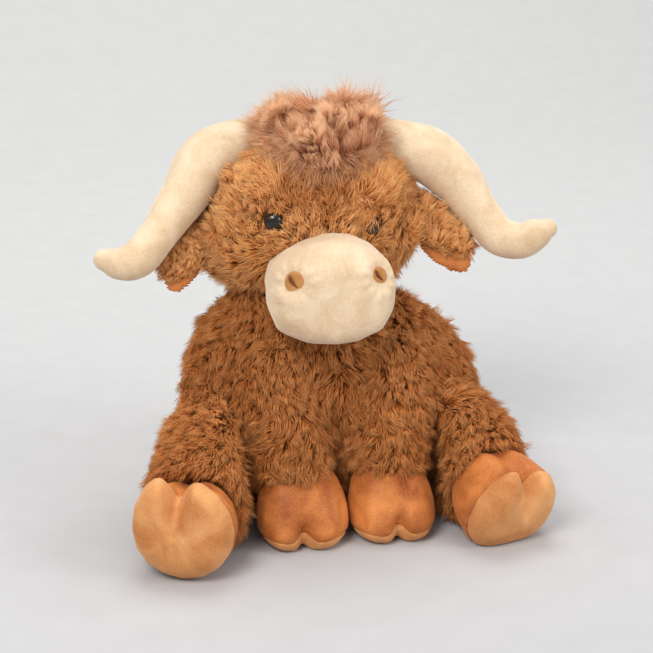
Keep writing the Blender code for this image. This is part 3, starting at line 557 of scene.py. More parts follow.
def pile(
    name, mesh, body, finish, comb, density, length, width, seed, lift=0.75, clump=0.0031, draw=0.44,
    spread=0.28, others=(), keep=None, reach=None, stray=0.16, uneven=0.50, whirl=0.35
):
    """A pile over a mesh, as pieces of strands. density is strands a square centimetre."""
    rng = np.random.default_rng(seed)
    area = sum(p.area for p in mesh.polygons)
    count = int(area * 1e4 * density * (1.0))
    # Roots, spread evenly over the mesh, with its smooth normals there
    mesh.calc_loop_triangles()
    tris = np.empty(len(mesh.loop_triangles) * 3, dtype=np.int64)
    mesh.loop_triangles.foreach_get("vertices", tris)
    tris = tris.reshape(-1, 3)
    co, no = coords(mesh), normals(mesh)
    a, b, c = co[tris[:, 0]], co[tris[:, 1]], co[tris[:, 2]]
    sizes = np.linalg.norm(np.cross(b - a, c - a), axis=1)
    pick = rng.choice(len(tris), size=count, p=sizes / sizes.sum())
    u, v = rng.random(count), rng.random(count)
    over = u + v > 1.0
    u[over], v[over] = 1.0 - u[over], 1.0 - v[over]
    mix = [share[:, None] for share in (1.0 - u - v, u, v)]
    roots = sum(m * co[tris[pick, k]] for k, m in enumerate(mix))
    facing = unit(sum(m * no[tris[pick, k]] for k, m in enumerate(mix)))
    if keep is not None:
        kept = keep(roots, facing)
        roots, facing = roots[kept], facing[kept]
    if others:
        kept = ~inside_any(roots, others, ROOT_GAP)
        roots, facing = roots[kept], facing[kept]
    count = len(roots)
    lengths = np.full(count, length) if reach is None else length * reach(roots)
    # Clumps: each strand leans to its clump's own way
    seeds = max(8, int(area / (clump * clump)))
    chosen = rng.choice(count, size=min(seeds, count), replace=False)
    table = KDTree(len(chosen))
    for i, k in enumerate(chosen):
        table.insert(roots[k], i)
    table.balance()
    owner = np.fromiter((table.find(p)[1] for p in roots), dtype=np.int64, count=count)
    way = comb(roots) + (swirl(roots, 0.011, seed + 1) + swirl(roots, 0.030, seed + 2)) * whirl
    way -= facing * np.sum(way * facing, axis=1, keepdims=True)
    way = unit(way)
    lean = (rng.normal(size=(len(chosen), 3)) * spread)[owner]
    # The lower half of each strand stands up more than the upper half
    first = unit(facing * lift + way * (1.0 - lift) + lean * 0.6 + rng.normal(size=(count, 3)) * stray)
    turned = way * (1.15 - lift * 0.5)
    later = unit(facing * lift * 0.45 + turned + lean + rng.normal(size=(count, 3)) * stray)
    vary = (1.0 - uneven / 2.0 + uneven * rng.random(len(chosen)))[owner] * (0.80 + 0.4 * rng.random(count))
    run = (lengths * vary)[:, None]
    mids = roots + first * run * 0.5
    tips = mids + later * run * 0.5
    lead = chosen[owner]
    gather = draw * (0.7 + 0.6 * rng.random((count, 1)))
    tips = tips * (1.0 - gather) + tips[lead] * gather
    mids = mids * (1.0 - gather * 0.4) + mids[lead] * gather * 0.4
    if others:
        # What runs into a solid is shortened and lifted twice, and then left out
        for _ in range(2):
            bad = inside_any(tips, others, TIP_GAP)
            tips[bad] = roots[bad] + (tips[bad] - roots[bad]) * 0.45 + facing[bad] * 0.0006
            mids[bad] = roots[bad] + (mids[bad] - roots[bad]) * 0.45 + facing[bad] * 0.0004
        good = ~inside_any(tips, others, 0.0)
        roots, mids, tips, owner = roots[good], mids[good], tips[good], owner[good]
    low = tips[:, 2] < TIP_HEIGHT
    tips[low, 2] = TIP_HEIGHT + rng.random(low.sum()) * HEIGHT_SPREAD
    above_floor(mids, ROOT_HEIGHT)
    above_floor(roots, ROOT_HEIGHT)
    count = len(roots)
    tones = rng.random(len(chosen))[owner] * 0.45 + rng.random(count) * 0.35
    tones = np.clip(tones + 0.12 + swirl(roots, 0.016, seed + 3)[:, 0] * 0.16, 0.0, 1.0)
    widths = width * (0.75 + 0.5 * rng.random(count))
    order = rng.permutation(count)
    for part in range(0, count, STRANDS_A_PIECE):
        k = order[part : part + STRANDS_A_PIECE]
        piece = f"{name}_{part // STRANDS_A_PIECE + 1}"
        strand_object(piece, roots[k], mids[k], tips[k], widths[k], tones[k], finish, body)


# Skins under the pile

TRUNK = ("body_cover", "body_stuffing", "pellet_bag")
LIMBS = [f"{limb}_{side}" for limb in ("front_leg", "hind_leg") for side, _ in SIDES]
# How far the skin lies inside the solids, whose outside is where most of the pile ends
DRAWN = 0.0045
# The furrow between the front legs
FURROW_WIDE, FURROW_DEEP = 0.0075, 0.0150
FURROW_FRONT, FURROW_TOP = -0.040, 0.100

whole = outer_only(smoothed(0.0028, 8, -DRAWN, *TRUNK, *LIMBS))
points = coords(whole)
x, y, z = points.T
y += bell(x / FURROW_WIDE) * falling(y, FURROW_FRONT, 0.015) * falling(z, FURROW_TOP, 0.045) * FURROW_DEEP
set_coords(whole, points)
torso = tucked(outer_only(smoothed(0.0030, 5, -0.0010, *TRUNK)), whole, 0.0004)
head = outer_only(smoothed(0.0026, 8, -DRAWN, "head_cover", "head_stuffing"))
muzzle = smoothed(0.0018, 10, 0.0004, "muzzle")
legs = {name: tucked(outer_only(smoothed(0.0026, 4, -0.0010, name)), whole, 0.0002) for name in LIMBS}
owners = {"torso": tree_of(node_mesh("body_cover")), **{name: tree_of(node_mesh(name)) for name in LIMBS}}
ears = {side: smoothed(0.0014, 4, -0.0006, f"ear_{side}") for side, _ in SIDES}
tail = smoothed(0.0014, 4, -0.0020, "tail")
tuft = smoothed(0.0018, 4, -0.0050, "tail_tuft")

for mesh in (torso, whole, *legs.values()):
    points = coords(mesh)
    above_floor(points, 0.0008)
    set_coords(mesh, points)
coats = shares_of(whole, owners, DRAWN)

# Head

EYE_RISE = {"left": 0.050, "right": 0.056}
eyes = {side: NECK + Vector((sign * 0.0300, -0.0515, EYE_RISE[side])) for side, sign in SIDES}

shaped(
    head,
    # the brows, then the cheeks
    (eyes["left"] + Vector((0.006, 0.004, 0.020)), 0.015, (0.0010, -0.0050, 0.0020)),
    (eyes["right"] + Vector((-0.006, 0.004, 0.018)), 0.015, (-0.0010, -0.0050, 0.0020)),
    (eyes["left"] + Vector((0.014, 0.006, -0.026)), 0.020, (0.0030, -0.0030, 0.0)),
    (eyes["right"] + Vector((-0.014, 0.006, -0.026)), 0.020, (-0.0030, -0.0030, 0.0)),
)
for side, sign in SIDES:
    # the skin stands at the eye's seat, over the washer behind it
    out = Vector((sin(FACE_TURN) * sign, -cos(FACE_TURN), 0.0))
    found = tree_of(head).ray_cast(eyes[side] + out * 0.02, -out)
    short = found[3] - 0.02 - 0.0012 if found[0] is not None else 0.0
    shaped(head, (eyes[side] - out * short, 0.011, out * max(short, 0.0)))
shaped(
    head,
    # drawn in at the root of each horn
    (NECK + Vector((0.046, -0.012, 0.090)), 0.013, (-0.0050, 0.0070, -0.0030)),
    (NECK + Vector((-0.040, -0.012, 0.094)), 0.015, (0.0060, 0.0085, -0.0035)),
)

# Horns: centre line from the neck, outward, forward and up, and radius, one row each ring
HORN_LINES = {
    "left": (
        (0.0400, -0.0020, 0.0862, 0.0158), (0.0505, -0.0012, 0.0853, 0.0166),
        (0.0588, 0.0000, 0.0836, 0.0173), (0.0778, 0.0057, 0.0789, 0.0176),
        (0.0929, 0.0140, 0.0655, 0.0157), (0.1003, 0.0203, 0.0534, 0.0136),
        (0.1072, 0.0262, 0.0431, 0.0120), (0.1157, 0.0327, 0.0328, 0.0117),
        (0.1274, 0.0387, 0.0306, 0.0111), (0.1368, 0.0430, 0.0357, 0.0095),
        (0.1432, 0.0430, 0.0384, 0.0061),
    ),
    "right": (
        (0.0255, -0.0018, 0.0900, 0.0160), (0.0352, -0.0010, 0.0898, 0.0170),
        (0.0432, 0.0000, 0.0890, 0.0176), (0.0574, 0.0036, 0.0869, 0.0166),
        (0.0669, 0.0082, 0.0792, 0.0163), (0.0747, 0.0139, 0.0680, 0.0150),
        (0.0845, 0.0203, 0.0572, 0.0132), (0.0949, 0.0275, 0.0461, 0.0116),
        (0.1085, 0.0363, 0.0340, 0.0116), (0.1206, 0.0420, 0.0327, 0.0100),
        (0.1307, 0.0430, 0.0361, 0.0065),
    ),
}
HORN_STEPS = 7
DENTS_APART, DENTS_DEEP = 0.020, 0.0004


def spline(rows, steps):
    """A smooth curve through the rows, by Catmull and Rom's rule."""
    rows = np.array(rows)
    rows = np.vstack([2 * rows[0] - rows[1], rows, 2 * rows[-1] - rows[-2]])
    out = []
    for k in range(1, len(rows) - 2):
        a, b, c, d = rows[k - 1 : k + 3]
        bend = 2 * a - 5 * b + 4 * c - d
        twist = 3 * b - a - 3 * c + d
        for s in range(steps):
            t = s / steps
            out.append(0.5 * (2 * b + (c - a) * t + bend * t * t + twist * t * t * t))
    out.append(rows[-2])
    return np.array(out)


def tube(name, centres, radii, sides=40, cap_rings=5):
    """A closed tube with a round far end."""
    points = []
    count = len(centres)
    last = Vector(centres[-1] - centres[-2]).normalized()
    rows = [(Vector(c), r) for c, r in zip(centres, radii)]
    end, end_radius = rows[-1]
    for k in range(1, cap_rings):
        turn = pi / 2.0 * k / cap_rings
        rows.append((end + last * (end_radius * sin(turn)), end_radius * cos(turn)))
    for k, (centre, radius) in enumerate(rows):
        along = last
        if k < count:
            along = (Vector(centres[min(k + 1, count - 1)]) - Vector(centres[max(k - 1, 0)])).normalized()
        across = Vector((0.0, 1.0, 0.0)).cross(along).normalized()
        up = along.cross(across)
        for s in range(sides):
            turn = tau * s / sides
            points.append(centre + (across * cos(turn) + up * sin(turn)) * radius)
    faces = ring_faces(len(rows), sides)
    for first, tip in ((0, rows[0][0]), ((len(rows) - 1) * sides, end + last * end_radius)):
        points.append(tip)
        for s in range(sides):
            pair = (first + s, first + (s + 1) % sides)
            faces.append((*(reversed(pair) if first == 0 else pair), len(points) - 1))
    return closed_mesh(name, points, faces)


horns = {}
for side, sign in SIDES:
    rows = spline(HORN_LINES[side], HORN_STEPS)
    centres = np.stack([sign * rows[:, 0], -rows[:, 1], rows[:, 2]], axis=1) + np.array(NECK)
    horn = tube(f"horn_{side}", centres, rows[:, 3])
    points = coords(horn)
    points += swirl(points, DENTS_APART, 41 + sign) * DENTS_DEEP
    set_coords(horn, points)
    horns[side] = horn
    skin(f"horn_cloth_{side}", horn, "head", CREAM, "short_cream_plush", f"horn_{side}", fill=0.8)

# Muzzle

# How far its outline lies from its middle, by angle in degrees, as a share of its plain form
OUTLINE_SHARES = (
    *((-36.0, 1.07), (0.0, 0.98), (20.0, 0.97), (46.0, 0.92), (90.0, 0.90), (117.0, 0.86)),
    *((140.0, 0.86), (154.0, 0.90), (177.0, 0.89), (200.0, 0.97), (216.0, 1.05), (238.0, 1.02)),
    *((270.0, 0.98), (309.0, 1.03), (324.0, 1.07), (360.0, 0.98)),
)
# Pixels of the photograph
MUZZLE_MIDDLE = (331.0, 290.0)
NOSTRIL_SEATS = {"left": (382.0, 277.0), "right": (294.0, 284.0)}
# Each nostril lies in a dent with a gathered rim
DENT_WIDE, DENT_DEEP = 0.0085, 0.0030
RIM_RADIUS, RIM_WIDE, RIM_HEIGHT, GATHER_HEIGHT, GATHERS = 0.0112, 0.0034, 0.0009, 0.0007, 11.0

nose_points = coords(muzzle)
across, upward = picture(nose_points)
du = across - (MUZZLE_MIDDLE[0] - MIDDLE) * PIXEL
dv = upward - (MIDDLE - MUZZLE_MIDDLE[1]) * PIXEL
share = np.interp(np.degrees(np.arctan2(dv, du)) % 360.0, *zip(*OUTLINE_SHARES)) - 1.0
share *= rising(np.hypot(du, dv), 0.0, 0.030)
nose_points += (share * du)[:, None] * np.array(RIGHT) + (share * dv)[:, None] * np.array(UP)
set_coords(muzzle, nose_points)
nose_tree = tree_of(muzzle)
nostrils = {}
for side, sign in SIDES:
    centre = np.array(nose_tree.ray_cast(EYE_POINT, line_of_sight(*NOSTRIL_SEATS[side]))[0])
    nostrils[side] = centre
    turn = FACE_TURN * sign
    out = np.array([sin(turn), -cos(turn), 0.18])
    out /= np.linalg.norm(out)
    offset = nose_points - centre
    flat = offset - (offset @ out)[:, None] * out
    gap = np.linalg.norm(flat, axis=1)
    front = (nose_points - np.array(NECK))[:, 1] < -0.05
    angle = np.arctan2(flat @ np.cross(out, [0, 0, 1]), flat[:, 2])
    gathers = RIM_HEIGHT + GATHER_HEIGHT * np.sin(angle * GATHERS + sign)
    dent = bell(gap / DENT_WIDE) * DENT_DEEP
    rim = bell((gap - RIM_RADIUS) / RIM_WIDE) * gathers
    nose_points -= (dent - rim)[:, None] * out * front[:, None]
set_coords(muzzle, nose_points)
skin("muzzle_cloth", muzzle, "head", CREAM, "short_cream_plush", "muzzle", fill=0.8)

solids = {
    "torso": solid(torso),
    "head": solid(head),
    "muzzle": solid(muzzle),
    **{name: solid(mesh) for name, mesh in legs.items()},
    **{f"horn_{side}": solid(mesh) for side, mesh in horns.items()},
    **{f"ear_{side}": solid(mesh) for side, mesh in ears.items()},
}

skin("torso_backing", torso, "torso", BACKING, LONG_FUR, *TRUNK)
skin("head_backing", head, "head", BACKING, LONG_FUR, "head_cover", "head_stuffing")
for side, _ in SIDES:
    for limb in ("front_leg", "hind_leg"):
        name = f"{limb}_{side}"
        skin(f"{name}_backing", legs[name], name, BACKING, LONG_FUR, name)
    name = f"ear_{side}"
    skin(f"{name}_backing", ears[side], name, BACKING, LONG_FUR, name, fill=0.3)
skin("tail_backing", tail, "tail", BACKING, LONG_FUR, "tail")
skin("tuft_backing", tuft, "tail", HAIR_BACKING, LONG_HAIR, "tail_tuft")

# Hooves: one blob each, split at the seam into an upper and a sole

FLOOR_GAP = 0.0004
HALF_SEAM = 0.00012


def hoof_blob(end, side):
    return smoothed(0.0014, 10, 0.0006, f"{end}_hoof_{side}", f"{end}_sole_{side}")


def split_hoof(blob, point, normal):
    """The blob's two sides of a plane, each closed."""
    out = []
    for sign in (1.0, -1.0):
        work = bmesh.new()
        work.from_mesh(blob)
        cut = bmesh.ops.bisect_plane(
            work,
            geom=work.verts[:] + work.edges[:] + work.faces[:],
            plane_co=Vector(point) + Vector(normal) * (HALF_SEAM * sign),
            plane_no=Vector(normal) * -sign,
            clear_outer=True,
        )
        edges = [g for g in cut["geom_cut"] if isinstance(g, bmesh.types.BMEdge)]
        bmesh.ops.holes_fill(work, edges=edges, sides=0)
        bmesh.ops.recalc_face_normals(work, faces=work.faces[:])
        mesh = bpy.data.meshes.new("half")
        work.to_mesh(mesh)
        work.free()
        mesh.shade_smooth()
        out.append(mesh)
    return out


def groove(points, facing, gap, depth, width):
    points -= facing * (bell(gap / width) * depth)[:, None]


def dress_hoof(end, side, upper, sole):
    """The hoof's two pieces of cloth, which strands keep out of."""
    for part, half, finish, slot in (
        ("hoof", upper, ORANGE, "burnt_orange_satin"),
        ("sole", sole, SOLE, "light_orange_satin"),
    ):
        name = f"{end}_{part}_{side}"
        skin(f"{end}_{part}_cloth_{side}", half, f"{end}_leg_{side}", finish, slot, name, fill=0.9)
        solids[name] = solid(half)


# Front hooves: heights above the floor, half widths and depths
FRONT_SEAM = 0.0072
TOE_OUT, TOE_UP, TOE_RADIUS, TOE_SWELL = 0.012, 0.010, 0.009, 0.0026
DIMPLE_UP, DIMPLE_WIDE, DIMPLE_TALL, DIMPLE_DEEP = 0.0125, 0.0048, 0.0068, 0.0072
CLEFT_TOP, CLEFT_WIDE, CLEFT_DEEP = 0.011, 0.0034, 0.0042
# Creases run up from the dimple: the lean and the depth of each
CREASES = ((-0.75, 0.0011), (-0.25, 0.0013), (0.30, 0.0013), (0.80, 0.0010))
CREASE_FOOT, CREASE_LENGTH, CREASE_WIDE, CREASE_SPREAD = 0.0135, 0.011, 0.0011, 0.05
SEAM_ARC, SEAM_SIDES = 0.0062, 0.0022
TAPER_TOP, TAPER = 0.014, 0.10


def front_hoof(side, sign):
    blob = hoof_blob("front", side)
    points, facing = coords(blob), normals(blob)
    x, y, z = points.T
    low, high = points.min(axis=0), points.max(axis=0)
    middle = (low + high) / 2.0
    cleft_x = middle[0] + 0.0015 * sign
    front_y = middle[1] - 0.002

    def seam_rise(there):
        """The seam arcs over each toe and up into the dimple between them."""
        off = there[:, 0] - cleft_x
        sides = rising(np.abs(off), 0.0, 0.024) ** 2
        front = falling(there[:, 1], front_y, 0.020)
        return front * (SEAM_ARC * bell(off / DIMPLE_WIDE) + SEAM_SIDES * sides)

    ahead = falling(y, front_y, 0.020)
    # the foot narrows towards the floor, and each is set or widened as in the photograph
    taper = 1.0 - TAPER * falling(z, TAPER_TOP, TAPER_TOP) ** 2
    points[:, :2] = middle[:2] + (points[:, :2] - middle[:2]) * taper[:, None]
    if side == "right":
        x[:] = low[0] + (x - low[0]) * 1.05
    else:
        x += 0.0016
    across = x - cleft_x
    # toes swell at the foot of the front, with a dimple between them
    toes = bell((np.abs(across) - TOE_OUT) / TOE_RADIUS) * bell((z - TOE_UP) / TOE_RADIUS)
    points += facing * (toes * ahead * TOE_SWELL)[:, None]
    dimple = bell(across / DIMPLE_WIDE) * bell((z - DIMPLE_UP) / DIMPLE_TALL)
    points -= facing * (dimple * ahead * DIMPLE_DEEP)[:, None]
    for lean, deep in CREASES:
        climb = z - CREASE_FOOT
        up = np.clip(climb, 0.0, 1.0)
        off = (across - climb * lean) / (CREASE_WIDE + CREASE_SPREAD * up)
        run = rising(climb, 0.0, 0.002) * bell(up / CREASE_LENGTH)
        points -= facing * (bell(off) * run * ahead * deep)[:, None]
    cleft = bell(across / CLEFT_WIDE) * falling(z, CLEFT_TOP, 0.006)
    points -= facing * (cleft * ahead * CLEFT_DEEP)[:, None]
    points += swirl(points, 0.012, 7 + sign) * 0.00025
    groove(points, facing, z - FRONT_SEAM - seam_rise(points), 0.0009, 0.0011)
    above_floor(points, FLOOR_GAP)
    # the seam is laid flat for the cut, and both halves are bent back
    z -= seam_rise(points)
    set_coords(blob, points)
    halves = split_hoof(blob, (0.0, 0.0, FRONT_SEAM), (0.0, 0.0, 1.0))
    for half in halves:
        there = coords(half)
        there[:, 2] += seam_rise(there)
        above_floor(there, FLOOR_GAP)
        set_coords(half, there)
    dress_hoof("front", side, *halves)


# Hind hooves: where the leg starts, how it lies in degrees, the seam's place along it, how far the two
# lobes are raised and the upper is lowered, and the depth of the notch at the top
HIND = {
    "left": ((0.068, -0.014, 0.046), (18.0, 22.0), -0.0205, (0.0098, 0.0042), 0.0010, 0.0135),
    "right": ((-0.068, -0.030, 0.046), (-25.0, 3.0), -0.0165, (0.0082, 0.0056), 0.0050, 0.0150),
}
FOOT_OUT, FOOT_UP, FOOT_DOWN = -0.071, 0.033, 0.0465
NOTCH_WIDE, SHOULDER_DROP = 0.0066, 0.0080
FACE_HALF, RIM_BACK, RIM_FORWARD = 0.030, 0.0030, 0.0040
HIND_CLEFT_WIDE, HIND_CLEFT_SPREAD, HIND_CLEFT_DEEP = 0.0026, 0.0030, 0.0068


def hind_hoof(side, sign):
    hip, (splay, droop), seam, (lift_one, lift_two), lowered, notch = HIND[side]
    blob = hoof_blob("hind", side)
    tilt = radians(droop)
    frame_at = (
        Matrix.Translation(hip)
        @ Matrix.Rotation(radians(splay), 4, "Z")
        @ Matrix.Translation((0.0, FOOT_OUT, FOOT_UP * cos(tilt) - FOOT_DOWN))
        @ Matrix.Rotation(tilt, 4, "X")
    )
    there = np.array(frame_at)
    back_again = np.linalg.inv(there)
    local = coords(blob) @ back_again[:3, :3].T + back_again[:3, 3]
    turned = normals(blob) @ back_again[:3, :3].T
    x, y, z = local.T
    # the upper is drawn in behind the face, and the face is full to its rim
    middle = 0.002 * sign
    behind = rising(y, seam, 0.010)
    front = falling(y, seam + 0.005, 0.007)
    raised = rising(z, 0.0, FACE_HALF)
    first_lobe = 0.5 - 0.5 * np.tanh((x - middle) / 0.004)
    z += front * raised * (first_lobe * lift_one + (1.0 - first_lobe) * lift_two)
    z -= behind * raised * lowered
    y -= front * RIM_BACK * raised**2
    y += front * RIM_FORWARD * falling(z, 0.0, FACE_HALF) ** 2
    groove(local, turned, y - seam, 0.0010, 0.0012)
    # the foot is cloven from its top to near its middle
    aside = x - middle
    deep = notch * (1.0 - 0.55 * behind)
    z -= bell(aside / NOTCH_WIDE) * rising(z, 0.004, 0.024) * deep
    outer = np.clip(np.abs(aside) / FACE_HALF - 0.50, 0.0, 1.0) * rising(z, 0.006, 0.020)
    z -= outer * SHOULDER_DROP * front
    ahead = falling(y, -0.012, 0.010)
    high = rising(z, -0.002, 0.016)
    cleft = bell(aside / (HIND_CLEFT_WIDE + HIND_CLEFT_SPREAD * high)) * ahead * high
    y += cleft * HIND_CLEFT_DEEP
    local += swirl(local, 0.012, 17 + sign) * 0.00030
    points = local @ there[:3, :3].T + there[:3, 3]
    above_floor(points, FLOOR_GAP)
    set_coords(blob, points)
    seam_way = frame_at.to_3x3() @ Vector((0.0, -1.0, 0.0))
    sole, upper = split_hoof(blob, frame_at @ Vector((0.0, seam, 0.0)), seam_way)
    dress_hoof("hind", side, upper, sole)


for hoof in (front_hoof, hind_hoof):
    for side, sign in SIDES:
        hoof(side, sign)

# Ear linings: how far each is moved, and how much further at its lower edge
LINING_MOVES = {
    "left": ((0.0010, -0.0045, -0.0050), (0.0020, -0.0045, -0.0055)),
    "right": ((-0.0015, -0.0028, -0.0035), (0.0, -0.0035, -0.0035)),
}
linings = {}
for side, _ in SIDES:
    lining = outer_only(smoothed(0.0006, 24, 0.0014, f"ear_lining_{side}"))
    move, edge_move = LINING_MOVES[side]
    points = coords(lining) + np.array(move)
    z = points[:, 2]
    low, high = z.min(), z.max()
    edge = falling(2.0 * z, low + high, high - low)
    points += edge[:, None] * np.array(edge_move)
    set_coords(lining, points)
    linings[side] = solid(lining)
    name = f"ear_lining_{side}"
    skin(f"ear_lining_cloth_{side}", lining, f"ear_{side}", ORANGE, "burnt_orange_satin", name, fill=0.2)

# Eyes: a dome on a shank, as radii and heights

EYE_RADIUS, EYE_HEIGHT, EYE_STEPS = 0.0058, 0.0042, 14
EYE_BACK = ((EYE_RADIUS, -0.0010), (0.0054, -0.0014), (0.0019, -0.0014), (0.0019, -0.0118), (0.0015, -0.0120))


def lathe(name, profile, matrix, steps=40):
    """A closed body turned from radii and heights."""
    points = []
    for radius, height in profile:
        for s in range(steps):
            turn = tau * s / steps
            points.append(matrix @ Vector((radius * cos(turn), radius * sin(turn), height)))
    faces = [(a, d, c, b) for a, b, c, d in ring_faces(len(profile), steps)]
    faces.append(tuple(range(steps)))
    faces.append(tuple(reversed(range((len(profile) - 1) * steps, len(profile) * steps))))
    return closed_mesh(name, points, faces)


dome = [pi / (2 * EYE_STEPS) * k for k in range(1, EYE_STEPS + 1)]
profile = [(EYE_RADIUS * sin(turn), EYE_HEIGHT * cos(turn)) for turn in dome] + list(EYE_BACK)
for side, sign in SIDES:
    facing_way = Matrix.Rotation(sign * FACE_TURN, 4, "Z") @ Matrix.Rotation(pi / 2.0, 4, "X")
    eye = lathe(f"eye_dome_{side}", profile, Matrix.Translation(eyes[side]) @ facing_way)
    made = linked(f"eye_dome_{side}", eye, GLOSS, "head")
    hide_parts(f"eye_{side}")

# Nostrils: a dished patch with a slit

NOSTRIL_SIZES = {"left": (0.0052, 0.0056), "right": (0.0062, 0.0066)}
PATCH_RINGS, PATCH_STEPS, PATCH_THICK, PATCH_HEIGHT, PATCH_RIM = 9, 36, 0.0008, 0.0013, -0.0010
SLIT_POINTS = 9
for side, sign in SIDES:
    turn = FACE_TURN * sign
    out = Vector((sin(turn), -cos(turn), 0.10)).normalized()
    seat = Vector(nostrils[side]) + out * 0.004
    found = solids["muzzle"][0].ray_cast(seat + out * 0.02, -out)
    centre = found[0] if found[0] is not None else seat
    across = out.cross(Vector((0.0, 0.0, 1.0))).normalized()
    up = across.cross(out).normalized()
    wide, high = NOSTRIL_SIZES[side]
    points = []
    for j in range(PATCH_RINGS + 1):
        share = j / PATCH_RINGS
        height = PATCH_HEIGHT if j < PATCH_RINGS else PATCH_RIM
        for s in range(PATCH_STEPS):
            turn = tau * s / PATCH_STEPS
            x, y = wide * share * cos(turn), high * share * sin(turn)
            slit = bell((x * 0.85 - y * 0.5) / 0.0011) * bell((y - 0.0014) / 0.0036)
            dish = 0.0012 * (1.0 - share * share) - 0.0013 * slit - 0.0009
            points.append(centre + across * x + up * y + out * (height + dish * 0.6))
    mesh = new_mesh(f"nostril_patch_{side}", points, ring_faces(PATCH_RINGS + 1, PATCH_STEPS))
    mesh.shade_smooth()
    made = linked(f"nostril_patch_{side}", mesh, TAN, "head")
    thick = made.modifiers.new("thick", "SOLIDIFY")
    thick.thickness = PATCH_THICK
    thick.offset = 0.0
    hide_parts(f"nostril_{side}")
    # the slit is a dark tube: painted shade in the nostril's opening
    line, radii = [], []
    for k in range(SLIT_POINTS):
        t = k / (SLIT_POINTS - 1)
        y = 0.0046 - 0.0068 * t
        x = 0.0030 - 0.0044 * t + 0.0012 * sin(t * pi)
        line.append(np.array(centre + across * x + up * y + out * 0.0014))
        radii.append(0.0003 + 0.00090 * sin(pi * (k + 0.4) / SLIT_POINTS))
    name = f"nostril_slit_{side}"
    linked(name, tube(name, line, radii, 10, 3), SLIT, "head")

# The pile

HEAD_MID = NECK + Vector((0.0, 0.0, 0.056))
EAR_SEATS = {"left": (0.05392, -0.01548, 0.16742), "right": (-0.06969, -0.01469, 0.16202)}
HORNS = [solids["horn_left"], solids["horn_right"]]
# Pixels of the photograph: the forelock's outline, the upper part of each horn's root as left, top, right
# and foot, the window with short hair, and the middle and half size of the darker forehead
FORELOCK_EDGE = (
    *((262, 96), (262, 134), (281, 151), (299, 165), (320, 168)),
    *((345, 161), (369, 148), (385, 122), (385, 96)),
)
HORN_SEATS = ((226, 92, 262, 150), (384, 104, 410, 150))
SHORT_HAIR = (222, 84, 266, 128)
FOREHEAD = ((314.0, 196.0), (42.0, 24.0))


def besides(*own):
    return [value for key, value in solids.items() if key not in own]


def toward(*way):
    """Combs the whole pile one way."""
    target = np.array(way, dtype=float)
    return lambda roots: np.broadcast_to(target, roots.shape).copy()


def near(place, reach):
    return lambda roots, facing: distance(roots, place) < reach


def down_out(roots):
    way = np.zeros_like(roots)
    way[:, 0] = np.sign(roots[:, 0]) * 0.25
    way[:, 1:] = (-0.1, -1.0)
    return way


def face_comb(roots):
    """Up and outward over the brows, outward and down on the cheeks, down at the back."""
    offset = roots - np.array(HEAD_MID)
    way = np.zeros_like(roots)
    front = falling(offset[:, 1], 0.0, 0.045)
    above = np.clip((offset[:, 2] + 0.026) / 0.018, -1.0, 1.0)
    way[:, 0] = offset[:, 0] / 0.05 * 0.9
    way[:, 2] = above * front * 0.9 - (1.0 - front) * 0.9
    way[:, 1] = 0.25 * (1.0 - front)
    return way


def in_forelock(points):
    """Which points the camera sees within the forelock's outline, on the front of the head."""
    x, y = in_pixels(points)
    out = np.zeros(len(points), dtype=bool)
    last_x, last_y = FORELOCK_EDGE[-1]
    for here_x, here_y in FORELOCK_EDGE:
        span = (last_y - here_y) or 1e-9
        beside = x < (last_x - here_x) * (y - here_y) / span + here_x
        out ^= beside & ((here_y > y) != (last_y > y))
        last_x, last_y = here_x, here_y
    return out & (points[:, 1] < NECK.y - 0.012)


def in_window(points, window):
    x, y = in_pixels(points)
    left, top, right, foot = window
    return (x > left) & (x < right) & (y > top) & (y < foot)


def over_horns(points):
    """Which points the camera sees on the upper part of a horn's root."""
    seen = in_window(points, HORN_SEATS[0]) | in_window(points, HORN_SEATS[1])
    return seen & (points[:, 1] < NECK.y + 0.012)


def forehead(points):
    """Which roots bear the darker pile, more of them towards the middle of the forehead."""
    x, y = in_pixels(points)
    middle, half = FOREHEAD
    share = 0.9 * np.exp(-(((x - middle[0]) / half[0]) ** 4)) * np.exp(-(((y - middle[1]) / half[1]) ** 4))
    dither = np.modf(np.abs(points[:, 0] * 7919.0 + points[:, 2] * 6113.0))[0]
    return (dither < share) & (points[:, 1] < NECK.y)


def clear_of_eyes(roots):
    """Which roots lie beside the eyes, the forelock and the horns."""
    kept = np.ones(len(roots), dtype=bool)
    for place in eyes.values():
        kept &= distance(roots, place) > 0.0064
    return kept & ~in_forelock(roots) & ~over_horns(roots)


def face_reach(roots):
    """Shorter hair beside the horn and round the eyes, longer hair on the brows."""
    share = np.ones(len(roots))
    share[in_window(roots, SHORT_HAIR)] *= 0.35
    for place in eyes.values():
        share *= 1.0 - 0.55 * bell(distance(roots, place) / 0.012)
        beside = 0.010 if place[0] > NECK.x else -0.010
        brow = distance(roots - np.array(place), [beside, 0.0, 0.020])
        share += 0.60 * bell(brow / 0.015)
    return share


BODY = {"draw": 0.40, "others": besides("torso", *LIMBS)}
FACE = {"lift": 0.58, "draw": 0.34, "stray": 0.20, "others": besides("head"), "reach": face_reach}
# By side: the lengths of the pile on ears, on their rims, beside the horns and over the eyes, how far down
# an ear faces where its pile ends, and how far the lashes lean
EAR_SIDES = {
    "left": (0.0080, 0.0115, 0.0165, 0.0105, -0.05, -0.35),
    "right": (0.0060, 0.0075, 0.0130, 0.0070, -0.30, -0.55),
}
# Each lash's place beside its eye and its half width
LASHES = {"left": ((0.0, 0.0052), (-0.003, 0.0045)), "right": ((-0.002, 0.0040),)}

